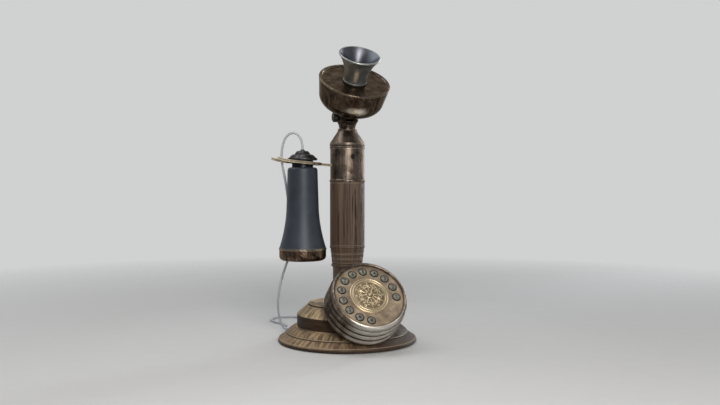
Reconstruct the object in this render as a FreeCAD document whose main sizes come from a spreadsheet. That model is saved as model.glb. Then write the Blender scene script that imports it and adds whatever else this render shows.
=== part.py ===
import FreeCAD, Part
import math
import os
import re

import Sketcher

# An upright desk telephone: a turned base in two tiers, a column with the hook switch in its head,
# a tilting transmitter, a receiver that hangs on a fork, and a drum with twelve push keys.
# Millimetres, +Z up, the front towards -Y, the hook towards -X, the middle of the felt at the origin.

Vector = FreeCAD.Vector
Rotation = FreeCAD.Rotation

SIZES = {
    # fits
    "fit": 0.05,
    "running_gap": 0.3,
    # felt, base plate and ballast
    "felt_radius": 66,
    "felt_thick": 1.2,
    "plate_radius": 58,
    "plate_thick": 2,
    "plate_gap": 0.2,
    "plate_screw_circle": 52,
    "plate_screw_radius": 1.6,
    "plate_screw_head": 3.2,
    "plate_screw_length": 9,
    "ballast_radius": 40,
    "ballast_bore": 12,
    "ballast_thick": 6,
    # lower tier
    "base_radius": 70,
    "rim_height": 2.6,
    "rim_round": 1.8,
    "skirt_rise": 5.2,
    "skirt_height": 14.8,
    "skirt_bore": 45.5,
    "shoulder_radius": 62,
    "shoulder_round": 12,
    "tier_ledge": 1.6,
    "turned_groove": 0.8,
    # upper tier
    "dome_radius": 50.9,
    "dome_wall_height": 12.3,
    "dome_cone_rise": 9.2,
    "dome_cone_run": 10.4,
    "dome_lip_run": 0.9,
    "dome_lip_rise": 1.5,
    "dome_thick": 5,
    "dome_ceiling": 6,
    # bushes in the rear wall
    "bush_radius": 3.2,
    "bush_flange": 4.8,
    "bush_flange_thick": 1.8,
    "bush_nose": 5.5,
    "bush_nose_radius": 2.6,
    "bush_rise": 6,
    "line_bush_bore": 2,
    "line_bush_turn": 28,
    # circuit board and ringer
    "board_length": 44,
    "board_width": 22,
    "board_thick": 1.6,
    "board_setback": 12,
    "board_boss": 4,
    "board_boss_radius": 2.4,
    "ringer_radius": 11,
    "ringer_height": 6,
    "ringer_aside": 20,
    "ringer_ahead": 13,
    # column and its stem
    "foot_radius": 14.6,
    "foot_height": 36.5,
    "foot_bead": 3.4,
    "foot_bead_radius": 15.4,
    "foot_step": 4.2,
    "foot_swell": 0.55,
    "collar_bead": 3.4,
    "column_radius": 17.5,
    "column_height": 121.4,
    "tenon_radius": 15.9,
    "tenon_height": 7.6,
    "nut_well_radius": 9,
    "nut_well": 6,
    "stem_radius": 5,
    "stem_bore": 3.4,
    "stem_gap": 0.3,
    "stem_overrun": 1,
    "nut_radius": 8,
    "nut_thick": 4.5,
    # ferrule, upper band and cone cap
    "ferrule_radius": 17.2,
    "ferrule_height": 34,
    "ferrule_band": 3.4,
    "ferrule_band_round": 2.2,
    "screw_drop": 8,
    "screw_radius": 1.5,
    "screw_head": 2.4,
    "screw_head_height": 1.1,
    "screw_length": 4,
    "band_height": 4.8,
    "band_radius": 17.3,
    "band_gap": 0.4,
    "cone_foot_radius": 17.6,
    "cone_foot_height": 0.8,
    "cone_height": 13,
    "cone_top_radius": 9.6,
    "cone_bead": 2.2,
    "cone_wall": 1.7,
    "spigot_length": 15.5,
    "socket_radius": 4.2,
    "socket_depth": 5,
    # yoke, lug and thumb screw
    "yoke_radius": 11.2,
    "yoke_foot_radius": 8.2,
    "yoke_hollow": 12,
    "yoke_base": 3.2,
    "pivot_rise": 11.8,
    "ear_radius": 7.6,
    "lug_radius": 6.2,
    "lug_half": 3.9,
    "lug_swing": 40,
    "lug_rise": 8.9,
    "lug_flange_radius": 9,
    "lug_flange": 1.5,
    "tilt_screw_radius": 2.2,
    "thumb_radius": 5.2,
    "thumb_thick": 3.8,
    "thumb_notch": 0.7,
    "thumb_notches": 12,
    # transmitter, measured along its axis from the tilt pivot
    "transmitter_lean": 33,
    "cup_foot_radius": 20,
    "cup_belly": 15,
    "cup_belly_radius": 32.2,
    "cup_belly_rise": 10.6,
    "cup_radius": 35.4,
    "cup_height": 29.8,
    "cup_floor": 2.2,
    "cup_wall": 2.2,
    "face_thick": 2.4,
    "rim_thick": 1.2,
    "rim_overlap": 0.8,
    "rim_swell": 0.8,
    "diaphragm_drop": 5.2,
    "diaphragm_ledge": 2,
    "diaphragm_thick": 0.6,
    "capsule_radius": 16,
    "capsule_height": 14,
    "mouth_spigot": 8,
    "mouth_spigot_length": 4,
    "mouth_flange_radius": 12,
    "mouth_flange": 1.2,
    "mouth_waist": 11.2,
    "mouth_waist_rise": 4.5,
    "mouth_radius": 20.5,
    "mouth_height": 28.4,
    "mouth_wall": 1.6,
    "mouth_lip": 1.4,
    "mouth_flare": 40,
    "mouth_throat": 6.5,
    # hook and its switch
    "hook_height": 176.4,
    "hook_lean": 4.574,
    "hook_thick": 2.6,
    "shank_width": 3.4,
    "prong_gap": 23.6,
    "prong_width": 2,
    "bar_flange": 0.8,
    "bar_groove": 0.45,
    "prong_reach": 75.5,
    "fork_centre": 41.8,
    "tip_start": 58,
    "tip_round": 76,
    "hook_boss": 3.2,
    "hook_boss_width": 7.6,
    "hook_tail": 7.5,
    "slot_height": 6.8,
    "slot_drop": 1.2,
    "slot_gap": 0.7,
    "pin_radius": 1.5,
    "bracket_length": 26,
    "bracket_thick": 1.2,
    "cheek_gap": 0.4,
    "cheek_radius": 4.6,
    "contact_length": 5,
    "contact_width": 7.2,
    "contact_height": 5.8,
    "contact_away": 9,
    "blade_thick": 0.4,
    "blade_width": 4.4,
    "blade_length": 10,
    "blade_pitch": 1.8,
    # receiver
    "receiver_reach": 46.9,
    "receiver_top": 175.5,
    "receiver_length": 79.9,
    "shell_mouth_radius": 23.2,
    "shell_waist_radius": 16.1,
    "shell_waist_drop": 38,
    "shell_top_radius": 14.9,
    "shell_round": 3,
    "shell_flare": 150,
    "shell_wall": 2.4,
    "shell_spigot": 3.6,
    "shell_spigot_radius": 20.5,
    "receiver_band_height": 1.4,
    "receiver_band_radius": 23.7,
    "ear_cap_height": 10.9,
    "ear_cap_radius": 23.3,
    "ear_cap_round": 4.5,
    "ear_cap_dish": 3,
    "ear_hole": 3,
    "ear_wall": 3.4,
    "ear_chamber_radius": 17,
    "ear_chamber": 2.4,
    "receiver_diaphragm_thick": 0.5,
    "magnet_thick": 3,
    "magnet_setback": 8,
    "coil_radius": 4,
    "coil_height": 7,
    "coil_aside": 6.5,
    "neck_radius": 10.5,
    "neck_height": 7,
    "neck_stud": 6,
    "cap_radius": 14.7,
    "cap_rim": 2.4,
    "cap_step_run": 1.6,
    "cap_dome_rise": 3.4,
    "cap_dome_radius": 9.4,
    "cap_knob_rise": 3.4,
    "cap_knob_radius": 5.2,
    "cap_bush_radius": 3,
    "cap_bush_rise": 1.6,
    # receiver cord
    "cord_radius": 1.25,
    # dial drum, measured along its axis from its back
    "dial_forward": 42.7,
    "dial_height": 36,
    "dial_lean": 50,
    "drum_radius": 37.6,
    "drum_step": 0.2,
    "rib_pitch": 8,
    "rib_groove": 1,
    "rib_groove_depth": 1.2,
    "rib_round": 6,
    "drum_back": 2.5,
    "drum_bore": 31,
    "drum_spigot_radius": 35,
    "drum_spigot": 1.6,
    "drum_spigot_wall": 2.2,
    "bezel_radius": 37.4,
    "bezel_height": 6,
    "bezel_lip": 2,
    "bezel_lip_run": 1.1,
    "dial_face_thick": 2.4,
    "dial_screw_aside": 6.5,
    "dial_screw_drop": 6,
    "dial_screw_radius": 1.5,
    "dial_screw_head": 3,
    "dial_screw_head_height": 2,
    "dial_screw_grip": 4.4,
    "dial_boss_radius": 3.6,
    "dial_boss": 4,
    "medallion_radius": 19.2,
    "medallion_thick": 0.5,
    "medallion_bead": 1.8,
    "medallion_bead_round": 1.05,
    "medallion_gap": 0.5,
    "medallion_crown": 90,
    "key_board_thick": 1.6,
    "key_board_drop": 6.4,
    "key_mat_thick": 1.4,
    # keys
    "key_radius": 3.6,
    "key_well_radius": 4.6,
    "key_well": 1.2,
    "key_flange": 4.9,
    "key_flange_thick": 1.3,
    "key_proud": -0.1,
    "key_crown": 12,
    "key_circle": 27,
    "key_pitch": 24.3,
    "key_first": -6.3,
}

# Heights and radii that follow from the driving sizes.
LEVELS = {
    "rim_top": "felt_thick + rim_height",
    "rim_edge": "base_radius - rim_round + sqrt(rim_round ^ 2 - rim_height ^ 2 / 4)",
    "shoulder_z": "rim_top + skirt_rise",
    "skirt_top": "felt_thick + skirt_height",
    "plate_top": "felt_thick + plate_thick",
    "ballast_top": "plate_top + ballast_thick",
    "board_z": "ballast_top + board_boss",
    "dome_bore": "dome_radius - dome_thick",
    "dome_wall_top": "skirt_top + dome_wall_height",
    "dome_cone_top": "dome_wall_top + dome_cone_rise",
    "dome_crown_radius": "dome_radius - dome_cone_run - dome_lip_run",
    "dome_top": "dome_cone_top + dome_lip_rise",
    "dome_ceiling_z": "dome_top - dome_ceiling",
    "bush_z": "skirt_top + bush_rise",
    "stem_hole": "stem_radius + stem_gap",
    "foot_top": "dome_top + foot_height",
    "column_top": "dome_top + column_height",
    "tenon_top": "column_top + tenon_height",
    "nut_well_z": "tenon_top - nut_well",
    "stem_foot": "dome_ceiling_z - nut_thick - stem_overrun",
    "stem_head": "nut_well_z + nut_thick + stem_overrun",
    "ferrule_bore": "tenon_radius + fit",
    "ferrule_top": "column_top + ferrule_height",
    "screw_z": "ferrule_top - screw_drop",
    "cone_foot": "ferrule_top + band_height",
    "cone_top": "cone_foot + cone_height",
    "yoke_foot": "cone_top + cone_bead",
    "pivot_z": "yoke_foot + pivot_rise",
    "cup_foot": "lug_rise + lug_flange",
    "cup_lip": "cup_foot + cup_height",
    "face_seat": "cup_lip - face_thick",
    "face_radius": "cup_radius - cup_wall - fit",
    "diaphragm_seat": "face_seat - diaphragm_drop",
    "diaphragm_radius": "cup_radius - cup_wall - diaphragm_ledge",
    "mouth_top": "cup_lip + mouth_height",
    "hook_half": "hook_thick / 2",
    "fork_inner": "prong_gap / 2",
    "fork_outer": "prong_gap / 2 + prong_width",
    "cheek_inner": "hook_boss_width / 2 + cheek_gap",
    "bracket_top": "tenon_top + bracket_thick",
    "blade_z": "bracket_top + blade_pitch",
    "shell_mouth": "receiver_top - receiver_length",
    "spigot_end": "shell_mouth - receiver_band_height - shell_spigot",
    "ear_top": "shell_mouth - receiver_band_height",
    "ear_bottom": "ear_top - ear_cap_height",
    "ear_seat": "spigot_end - receiver_diaphragm_thick",
    "magnet_z": "shell_mouth + magnet_setback",
    "magnet_radius": "shell_spigot_radius - shell_wall",
    "cap_foot": "receiver_top + neck_height",
    "cap_step": "cap_foot + cap_rim",
    "cap_dome": "cap_step + cap_dome_rise",
    "cap_top": "cap_dome + cap_knob_rise",
    "drum_front": "3 * rib_pitch",
    "face_back": "drum_front + drum_spigot",
    "face_front": "face_back + dial_face_thick",
    "key_top": "face_front + key_proud",
    "key_foot": "face_back - running_gap - key_flange_thick",
    "key_board_z": "face_back - key_board_drop",
    "board_bore": "drum_spigot_radius - drum_spigot_wall",
}

KEYS = ["1", "2", "3", "4", "5", "6", "7", "8", "9", "0", "star", "hash"]

# Points of the cord's middle line, from the receiver's top round to the base's rear.
CORD_ROUTE = [
    (-46.9, 0, 193.2),
    (-46.9, 0, 201.2),
    (-50.2, 3.4, 208.2),
    (-54.3, 7.6, 210.4),
    (-58.4, 11.8, 208.6),
    (-61.5, 15.1, 203.3),
    (-63.4, 17.1, 194.7),
    (-64.0, 17.6, 182.7),
    (-59.5, 17.0, 160),
    (-55.5, 20.0, 136),
    (-52.5, 24.5, 112),
    (-52.0, 28.5, 88),
    (-59.0, 35.0, 64),
    (-62.1, 42.5, 40),
    (-55.8, 61.5, 18),
    (-49.0, 71.0, 3.5),
    (-41.0, 79.0, 1.4),
    (-36.5, 94.0, 1.3),
    (-39.0, 113.5, 1.3),
    (-45.5, 131.0, 1.3),
    (-44.0, 147.0, 1.3),
    (-33.0, 156.5, 1.3),
    (-17.0, 155.5, 1.3),
    (-4.0, 144.0, 1.3),
    (1.5, 126.0, 1.3),
    (3.0, 109.0, 1.3),
    (2.6, 96.0, 1.5),
    (1.8, 84.0, 5),
    (0.9, 75.5, 11.5),
    (0.3, 68.5, 18.4),
    (0, 60.5, 22),
    (0, 52.5, 22),
]

doc = FreeCAD.newDocument("DeskTelephone")
nodes = []


def bound(text, own=None):
    """A formula's text with each size's name led by the sheet that holds it."""

    def full_name(match):
        word = match.group()
        if word in SIZES:
            return "Sizes." + word
        if word in LEVELS and own != "Levels":
            return "Levels." + word
        return word

    return re.sub(r"[a-z][a-z_0-9]*", full_name, text)


def make_sheet(name, rows):
    sheet = doc.addObject("Spreadsheet::Sheet", name)
    for row, (alias, content) in enumerate(rows.items(), start=1):
        sheet.set(f"A{row}", alias)
        sheet.set(f"B{row}", content)
        sheet.setAlias(f"B{row}", alias)
    doc.recompute()
    return sheet


sizes = make_sheet("Sizes", {alias: str(value) for alias, value in SIZES.items()})
make_sheet("Levels", {alias: "=" + bound(text, "Levels") for alias, text in LEVELS.items()})


def number(text):
    return float(sizes.evalExpression(bound(text)))


def bind(thing, **formulas):
    """Ties properties of an object to the sheets."""
    for name, text in formulas.items():
        thing.setExpression(name, bound(text))
    return thing


def place(thing, x="0", y="0", z="0", axis=(0, 0, 1), angle="0"):
    """Sets an object down at a point, turned about an axis through it."""
    thing.Placement = FreeCAD.Placement(Vector(0, 0, 0), Rotation(Vector(*axis), number(angle)))
    for name, text in (("x", x), ("y", y), ("z", z)):
        thing.setExpression("Placement.Base." + name, bound(text))
    if angle != "0":
        thing.setExpression("Placement.Rotation.Angle", bound(f"({angle}) * 1 deg"))
    return thing


def node(label, thing):
    """Keeps an object as a sub-part of the telephone."""
    thing.Label = label
    nodes.append(thing)
    return thing


def new_body(name):
    return doc.addObject("PartDesign::Body", name)


def datum(body, role):
    return next(item for item in body.Origin.OriginFeatures if item.Role == role)


def arc_between(start, end, radius):
    """An arc that swells to the right of its direction, or to the left where the radius is negative."""
    if radius < 0:
        start, end = end, start
    chord = end - start
    side = Vector(chord.y, -chord.x, 0).normalize()
    centre = (start + end) * 0.5 - side * math.sqrt(radius**2 - chord.Length**2 / 4)
    return Part.Arc(start, centre + side * abs(radius), end)


def outline(body, name, plane, corners):
    """A closed sketch. A corner is (across, up), or (across, up, radius) where an arc leads on from it."""
    sketch = body.newObject("Sketcher::SketchObject", name)
    sketch.AttachmentSupport = (datum(body, plane), [""])
    sketch.MapMode = "FlatFace"
    spots = [Vector(number(corner[0]), number(corner[1]), 0) for corner in corners]
    for index, corner in enumerate(corners):
        start, end = spots[index], spots[(index + 1) % len(spots)]
        if len(corner) == 3:
            sketch.addGeometry(arc_between(start, end, number(corner[2])), False)
        else:
            sketch.addGeometry(Part.LineSegment(start, end), False)
    sides = sketch.Geometry

    def end_at(index, spot):
        return 1 if sides[index].StartPoint.isEqual(spot, 1e-6) else 2

    for index, corner in enumerate(corners):
        before = (index - 1) % len(corners)
        here = end_at(index, spots[index])
        there = end_at(before, spots[index])
        sketch.addConstraint(Sketcher.Constraint("Coincident", before, there, index, here))
        for kind, text, axis in (("DistanceX", corner[0], -2), ("DistanceY", corner[1], -1)):
            if text == "0":
                sketch.addConstraint(Sketcher.Constraint("PointOnObject", index, here, axis))
                continue
            held = Sketcher.Constraint(kind, -1, 1, index, here, number(text))
            sketch.setExpression(f"Constraints[{sketch.addConstraint(held)}]", bound(text))
        if len(corner) == 3:
            held = Sketcher.Constraint("Radius", index, abs(number(corner[2])))
            sketch.setExpression(f"Constraints[{sketch.addConstraint(held)}]", bound(f"abs({corner[2]})"))
    return sketch


def turned(name, corners):
    """A body turned about its own Z axis from an outline of (radius, height) corners."""
    body = new_body(name)
    sketch = outline(body, name + "_profile", "XZ_Plane", corners)
    turn = body.newObject("PartDesign::Revolution", name + "_turn")
    turn.Profile = sketch
    turn.ReferenceAxis = (sketch, ["V_Axis"])
    turn.Angle = 360
    return body


def extruded(name, plane, corners, length):
    """A body padded evenly to both sides of a plane through its origin."""
    body = new_body(name)
    pad = body.newObject("PartDesign::Pad", name + "_pad")
    pad.Profile = outline(body, name + "_outline", plane, corners)
    pad.SideType = "Symmetric"
    bind(pad, Length=length)
    return body


def drilled(body, name, radius, length, **where):
    """Cuts a round hole that starts at a point of the body and runs along the turned Z axis."""
    hole = body.newObject("PartDesign::SubtractiveCylinder", name)
    return place(bind(hole, Radius=radius, Height=length), **where)


def bossed(body, name, radius, length, **where):
    boss = body.newObject("PartDesign::AdditiveCylinder", name)
    return place(bind(boss, Radius=radius, Height=length), **where)


def around(body, name, features, angle, count):
    """Repeats features of a body about its Z axis."""
    doc.recompute()
    ring = body.newObject("PartDesign::PolarPattern", name)
    ring.Originals = features
    ring.Axis = (datum(body, "Z_Axis"), [""])
    ring.Occurrences = count
    bind(ring, Angle=f"({angle}) * 1 deg")
    body.Tip = ring
    return ring


def box(name, length, width, height, x, y, z):
    block = bind(doc.addObject("Part::Box", name), Length=length, Width=width, Height=height)
    return place(block, x, y, z)


def rod(name, radius, length, **where):
    return place(bind(doc.addObject("Part::Cylinder", name), Radius=radius, Height=length), **where)


def cut(name, base, *tools):
    """The base less each tool in turn."""
    for index, tool in enumerate(tools):
        less = doc.addObject("Part::Cut", name if index == len(tools) - 1 else f"{name}_less_{index}")
        less.Base = base
        less.Tool = tool
        base = less
    return base


def fused(name, *pieces):
    whole = doc.addObject("Part::MultiFuse", name)
    whole.Shapes = list(pieces)
    return whole


def common(name, one, other):
    shared = doc.addObject("Part::Common", name)
    shared.Base = one
    shared.Tool = other
    return shared


def grouped(name, pieces):
    group = doc.addObject("Part::Compound", name)
    group.Links = pieces
    return group


def headed(name, head_radius, head_height, shank_radius, shank_length):
    """A screw with its head's seat at its origin and its shank along -Z."""
    return turned(
        name,
        [
            ("0", f"-({shank_length})"),
            (shank_radius, f"-({shank_length})"),
            (shank_radius, "0"),
            (head_radius, "0"),
            (head_radius, f"0.6 * ({head_height})"),
            (f"0.8 * ({head_radius})", head_height),
            ("0", head_height),
        ],
    )


def at_dial(thing, across="0", up="0"):
    """Sets an object on the dial's axis system, whose origin is the middle of the drum's back."""
    return place(
        thing,
        across,
        f"-dial_forward + ({up}) * cos(dial_lean * 1 deg)",
        f"dial_height + ({up}) * sin(dial_lean * 1 deg)",
        axis=(1, 0, 0),
        angle="dial_lean",
    )


def at_pivot(thing):
    return place(thing, z="pivot_z", axis=(1, 0, 0), angle="transmitter_lean")


def at_receiver(thing):
    return place(thing, x="-receiver_reach")


def make_base():
    felt = [("0", "0"), ("felt_radius", "0"), ("felt_radius", "felt_thick"), ("0", "felt_thick")]
    node("base_felt", turned("base_felt", felt))

    plate = turned(
        "base_plate",
        [
            ("0", "felt_thick"),
            ("plate_radius", "felt_thick"),
            ("plate_radius", "plate_top"),
            ("0", "plate_top"),
        ],
    )
    hole = drilled(plate, "plate_hole", "plate_screw_radius + fit", "plate_thick", x="plate_screw_circle",
                   z="felt_thick")
    well = drilled(plate, "plate_well", "plate_screw_head + fit", "plate_thick / 2", x="plate_screw_circle",
                   z="felt_thick")
    around(plate, "plate_holes", [hole, well], "360", 4)
    node("base_plate", plate)

    screws = []
    for quarter in range(4):
        screw = headed(f"plate_screw_{quarter}", "plate_screw_head", "plate_thick / 2",
                       "plate_screw_radius", "plate_screw_length")
        place(
            screw,
            f"plate_screw_circle * cos({quarter} * 90 deg)",
            f"plate_screw_circle * sin({quarter} * 90 deg)",
            "felt_thick + plate_thick / 2",
            axis=(1, 0, 0),
            angle="180",
        )
        screws.append(screw)
    node("base_screws", grouped("base_screws", screws))

    skirt = turned(
        "base_skirt",
        [
            ("plate_radius + plate_gap", "felt_thick"),
            ("rim_edge", "felt_thick", "rim_round"),
            ("rim_edge", "rim_top"),
            ("rim_edge - turned_groove", "rim_top"),
            ("rim_edge - turned_groove", "rim_top + turned_groove / 2"),
            ("rim_edge", "rim_top + turned_groove / 2"),
            ("shoulder_radius", "shoulder_z"),
            ("shoulder_radius - 2 * turned_groove", "shoulder_z"),
            ("shoulder_radius - 2 * turned_groove", "shoulder_z + turned_groove"),
            ("shoulder_radius - turned_groove", "shoulder_z + turned_groove", "shoulder_round"),
            ("dome_radius + tier_ledge", "skirt_top"),
            ("skirt_bore", "skirt_top"),
            ("skirt_bore", "plate_top"),
            ("plate_radius + plate_gap", "plate_top"),
        ],
    )
    hole = drilled(skirt, "skirt_hole", "plate_screw_radius + fit", "plate_screw_length",
                   x="plate_screw_circle", z="plate_top")
    around(skirt, "skirt_holes", [hole], "360", 4)
    node("base_skirt", skirt)

    ballast = turned(
        "ballast_weight",
        [
            ("ballast_bore", "plate_top"),
            ("ballast_radius", "plate_top"),
            ("ballast_radius", "ballast_top"),
            ("ballast_bore", "ballast_top"),
        ],
    )
    for name, side in (("left", "-"), ("right", "")):
        for row, depth in (("front", "board_boss_radius"), ("rear", "board_width - board_boss_radius")):
            bossed(
                ballast,
                f"boss_{row}_{name}",
                "board_boss_radius",
                "ballast_thick + board_boss",
                x=f"{side}(board_length / 2 - board_boss_radius)",
                y=f"board_setback + {depth}",
                z="plate_top",
            )
    node("ballast_weight", ballast)


def make_electrics():
    board = box("board", "board_length", "board_width", "board_thick", "-board_length / 2", "board_setback",
                "board_z")
    chip = box("chip", "board_length / 4", "board_width / 3", "board_thick + 2", "-board_length / 8",
               "board_setback + board_width / 3", "board_z")
    coil = box("line_coil", "board_length / 5", "board_width / 2", "board_thick + 8", "board_length / 5",
               "board_setback + board_width / 4", "board_z")
    can = rod("can", "board_width / 6", "board_thick + 9", x="-board_length / 3",
              y="board_setback + board_width / 2", z="board_z")
    node("circuit_board", fused("circuit_board", board, chip, coil, can))

    ringer = turned(
        "ringer",
        [
            ("0", "ballast_top"),
            ("ringer_radius", "ballast_top"),
            ("ringer_radius", "ballast_top + ringer_height"),
            ("ringer_radius / 4", "ballast_top + ringer_height"),
            ("ringer_radius / 4", "ballast_top + ringer_height / 2"),
            ("0", "ballast_top + ringer_height / 2"),
        ],
    )
    node("ringer", place(ringer, "-ringer_aside", "-ringer_ahead"))


def make_dome():
    dome = turned(
        "base_dome",
        [
            ("dome_bore", "skirt_top"),
            ("dome_radius", "skirt_top"),
            ("dome_radius", "dome_wall_top"),
            ("dome_radius - dome_cone_run", "dome_cone_top"),
            ("dome_crown_radius", "dome_cone_top"),
            ("dome_crown_radius", "dome_top"),
            ("stem_hole", "dome_top"),
            ("stem_hole", "dome_ceiling_z"),
            ("dome_crown_radius - dome_thick / 2", "dome_ceiling_z"),
            ("dome_bore", "dome_wall_top - dome_thick / 2"),
        ],
    )
    # the flat that carries the dial drum, and the screws that hold it from inside
    flat = dome.newObject("PartDesign::SubtractiveCylinder", "dial_flat")
    at_dial(bind(flat, Radius="drum_radius + rib_pitch / 4", Height="drum_front"))
    for name, side in (("left", "-dial_screw_aside"), ("right", "dial_screw_aside")):
        for kind, radius, start, length in (
            ("hole", "dial_screw_radius + fit", "0", "3 * dial_screw_grip"),
            ("seat", "dial_screw_head + running_gap", "dial_screw_grip", "2 * dial_screw_grip"),
        ):
            hole = dome.newObject("PartDesign::SubtractiveCylinder", f"dial_{kind}_{name}")
            at_seat(bind(hole, Radius=radius, Height=length), side, start)
    drilled(dome, "cord_hole", "bush_radius + fit", "2 * dome_thick",
            y="dome_radius + dome_thick", z="bush_z", axis=(1, 0, 0), angle="90")
    line_way = dome.newObject("PartDesign::SubtractiveCylinder", "line_hole")
    bind(line_way, Radius="bush_radius + fit", Height="2 * dome_thick")
    at_line_bush(line_way, "dome_radius - 2 * dome_thick")
    node("base_dome", dome)


def at_seat(thing, across, depth):
    """Points an object from the dial's seat into the dome, from some way under the flat."""
    lean = "dial_lean * 1 deg"
    return place(
        thing,
        across,
        f"-dial_forward - dial_screw_drop * cos({lean}) + ({depth}) * sin({lean})",
        f"dial_height - dial_screw_drop * sin({lean}) - ({depth}) * cos({lean})",
        axis=(1, 0, 0),
        angle="180 + dial_lean",
    )


def at_line_bush(thing, radius):
    """Points an object outwards through the rear wall, a set angle round from the middle."""
    turn = math.radians(number("line_bush_turn"))
    return place(
        thing,
        f"({radius}) * sin(line_bush_turn * 1 deg)",
        f"({radius}) * cos(line_bush_turn * 1 deg)",
        "bush_z",
        axis=(-math.cos(turn), math.sin(turn), 0),
        angle="90",
    )


def bush(name, bore):
    """A bush with its flange's back at its origin and its nose along Z."""
    return turned(
        name,
        [
            (bore, "-dome_thick"),
            ("bush_radius", "-dome_thick"),
            ("bush_radius", "0"),
            ("bush_flange", "0"),
            ("bush_flange", "bush_flange_thick"),
            ("bush_radius", "bush_flange_thick"),
            ("bush_nose_radius", "bush_nose"),
            (bore, "bush_nose"),
        ],
    )


def make_bushes():
    cord_bush = bush("cord_bush", "cord_radius + fit")
    node("cord_bush", place(cord_bush, y="dome_radius", z="bush_z", axis=(1, 0, 0), angle="-90"))
    node("line_bush", at_line_bush(bush("line_bush", "line_bush_bore"), "dome_radius"))


def make_column():
    corners = [("stem_hole", "dome_top"), ("foot_radius", "dome_top"), ("foot_radius", "foot_top")]
    # a bead and three shallow steps that widen to the shaft, parted by narrow grooves
    corners.append(("foot_bead_radius", "foot_top", "0.62 * foot_bead"))
    corners.append(("foot_bead_radius", "foot_top + foot_bead"))
    for step in range(3):
        foot = f"foot_top + foot_bead + {step} * (foot_step + turned_groove)"
        reach = f"foot_bead_radius + {step} * foot_swell"
        corners += [
            (f"{reach} - turned_groove", foot),
            (f"{reach} - turned_groove", f"{foot} + turned_groove"),
            (f"{reach} + foot_swell / 2", f"{foot} + turned_groove"),
            (f"{reach} + foot_swell", f"{foot} + turned_groove + foot_step"),
        ]
    collar = "foot_top + foot_bead + 3 * (foot_step + turned_groove)"
    corners += [
        ("column_radius - foot_swell", collar, "0.62 * collar_bead"),
        ("column_radius - foot_swell", f"{collar} + collar_bead"),
        ("column_radius", f"{collar} + collar_bead"),
        ("column_radius", "column_top"),
        ("tenon_radius", "column_top"),
        ("tenon_radius", "tenon_top"),
        ("nut_well_radius", "tenon_top"),
        ("nut_well_radius", "nut_well_z"),
        ("stem_hole", "nut_well_z"),
    ]
    node("column", turned("column", corners))

    tube = [
        ("stem_bore", "stem_foot"),
        ("stem_radius", "stem_foot"),
        ("stem_radius", "stem_head"),
        ("stem_bore", "stem_head"),
    ]
    node("stem_tube", turned("stem_tube", tube))

    nuts = []
    for name, height in (("lower", "dome_ceiling_z - nut_thick"), ("upper", "nut_well_z")):
        hexagon = doc.addObject("Part::Prism", f"{name}_hexagon")
        hexagon.Polygon = 6
        place(bind(hexagon, Circumradius="nut_radius", Height="nut_thick"), z=height)
        thread = rod(f"{name}_thread", "stem_radius + fit", "nut_thick", z=height)
        nuts.append(cut(f"{name}_nut", hexagon, thread))
    node("stem_nuts", grouped("stem_nuts", nuts))


def make_head():
    ferrule = turned(
        "ferrule",
        [
            ("ferrule_bore", "column_top"),
            ("ferrule_radius", "column_top", "ferrule_band_round"),
            ("ferrule_radius", "column_top + ferrule_band"),
            ("ferrule_radius", "ferrule_top"),
            ("ferrule_bore", "ferrule_top"),
        ],
    )
    slot = ferrule.newObject("PartDesign::SubtractiveBox", "hook_slot")
    bind(slot, Length="ferrule_radius", Width="shank_width + 2 * slot_gap", Height="slot_height")
    place(slot, "-1.5 * ferrule_radius", "-shank_width / 2 - slot_gap", "hook_height - slot_drop")
    drilled(ferrule, "ferrule_screw_hole", "screw_radius + fit", "screw_length + ferrule_radius", z="screw_z",
            axis=(1, 0, 0), angle="90")
    node("ferrule", ferrule)

    screw = headed("screw_blank", "screw_head", "screw_head_height", "screw_radius", "screw_length")
    place(screw, y="-ferrule_radius", z="screw_z", axis=(1, 0, 0), angle="90")
    nick = box("screw_nick", "2 * screw_head", "screw_head_height / 2", "0.2 * screw_head", "-screw_head",
               "-ferrule_radius - screw_head_height", "screw_z - 0.1 * screw_head")
    node("ferrule_screw", cut("ferrule_screw", screw, nick))

    bead = "(band_height - band_gap) / 2"
    band = [
        ("ferrule_bore", "ferrule_top"),
        ("band_radius", "ferrule_top", f"0.62 * {bead}"),
        ("band_radius", f"ferrule_top + {bead}"),
        ("band_radius - band_gap", f"ferrule_top + {bead}"),
        ("band_radius - band_gap", f"ferrule_top + {bead} + band_gap"),
        ("band_radius", f"ferrule_top + {bead} + band_gap", f"0.62 * {bead}"),
        ("band_radius", "cone_foot"),
        ("ferrule_bore", "cone_foot"),
    ]
    node("upper_band", turned("upper_band", band))

    cap = turned(
        "cone_cap",
        [
            ("tenon_radius - cone_wall", "cone_foot - spigot_length"),
            ("tenon_radius", "cone_foot - spigot_length"),
            ("tenon_radius", "cone_foot"),
            ("cone_foot_radius", "cone_foot"),
            ("cone_foot_radius", "cone_foot + cone_foot_height"),
            ("cone_top_radius", "cone_top"),
            ("cone_top_radius - cone_wall / 4", "cone_top", "0.62 * cone_bead"),
            ("cone_top_radius - cone_wall / 4", "yoke_foot"),
            ("socket_radius", "yoke_foot"),
            ("socket_radius", "yoke_foot - socket_depth"),
            ("cone_top_radius - cone_wall", "yoke_foot - socket_depth"),
            ("tenon_radius - cone_wall", "cone_foot + cone_foot_height"),
        ],
    )
    drilled(cap, "spigot_screw_hole", "screw_radius + fit", "screw_length + ferrule_radius", z="screw_z",
            axis=(1, 0, 0), angle="90")
    node("cone_cap", cap)


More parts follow.
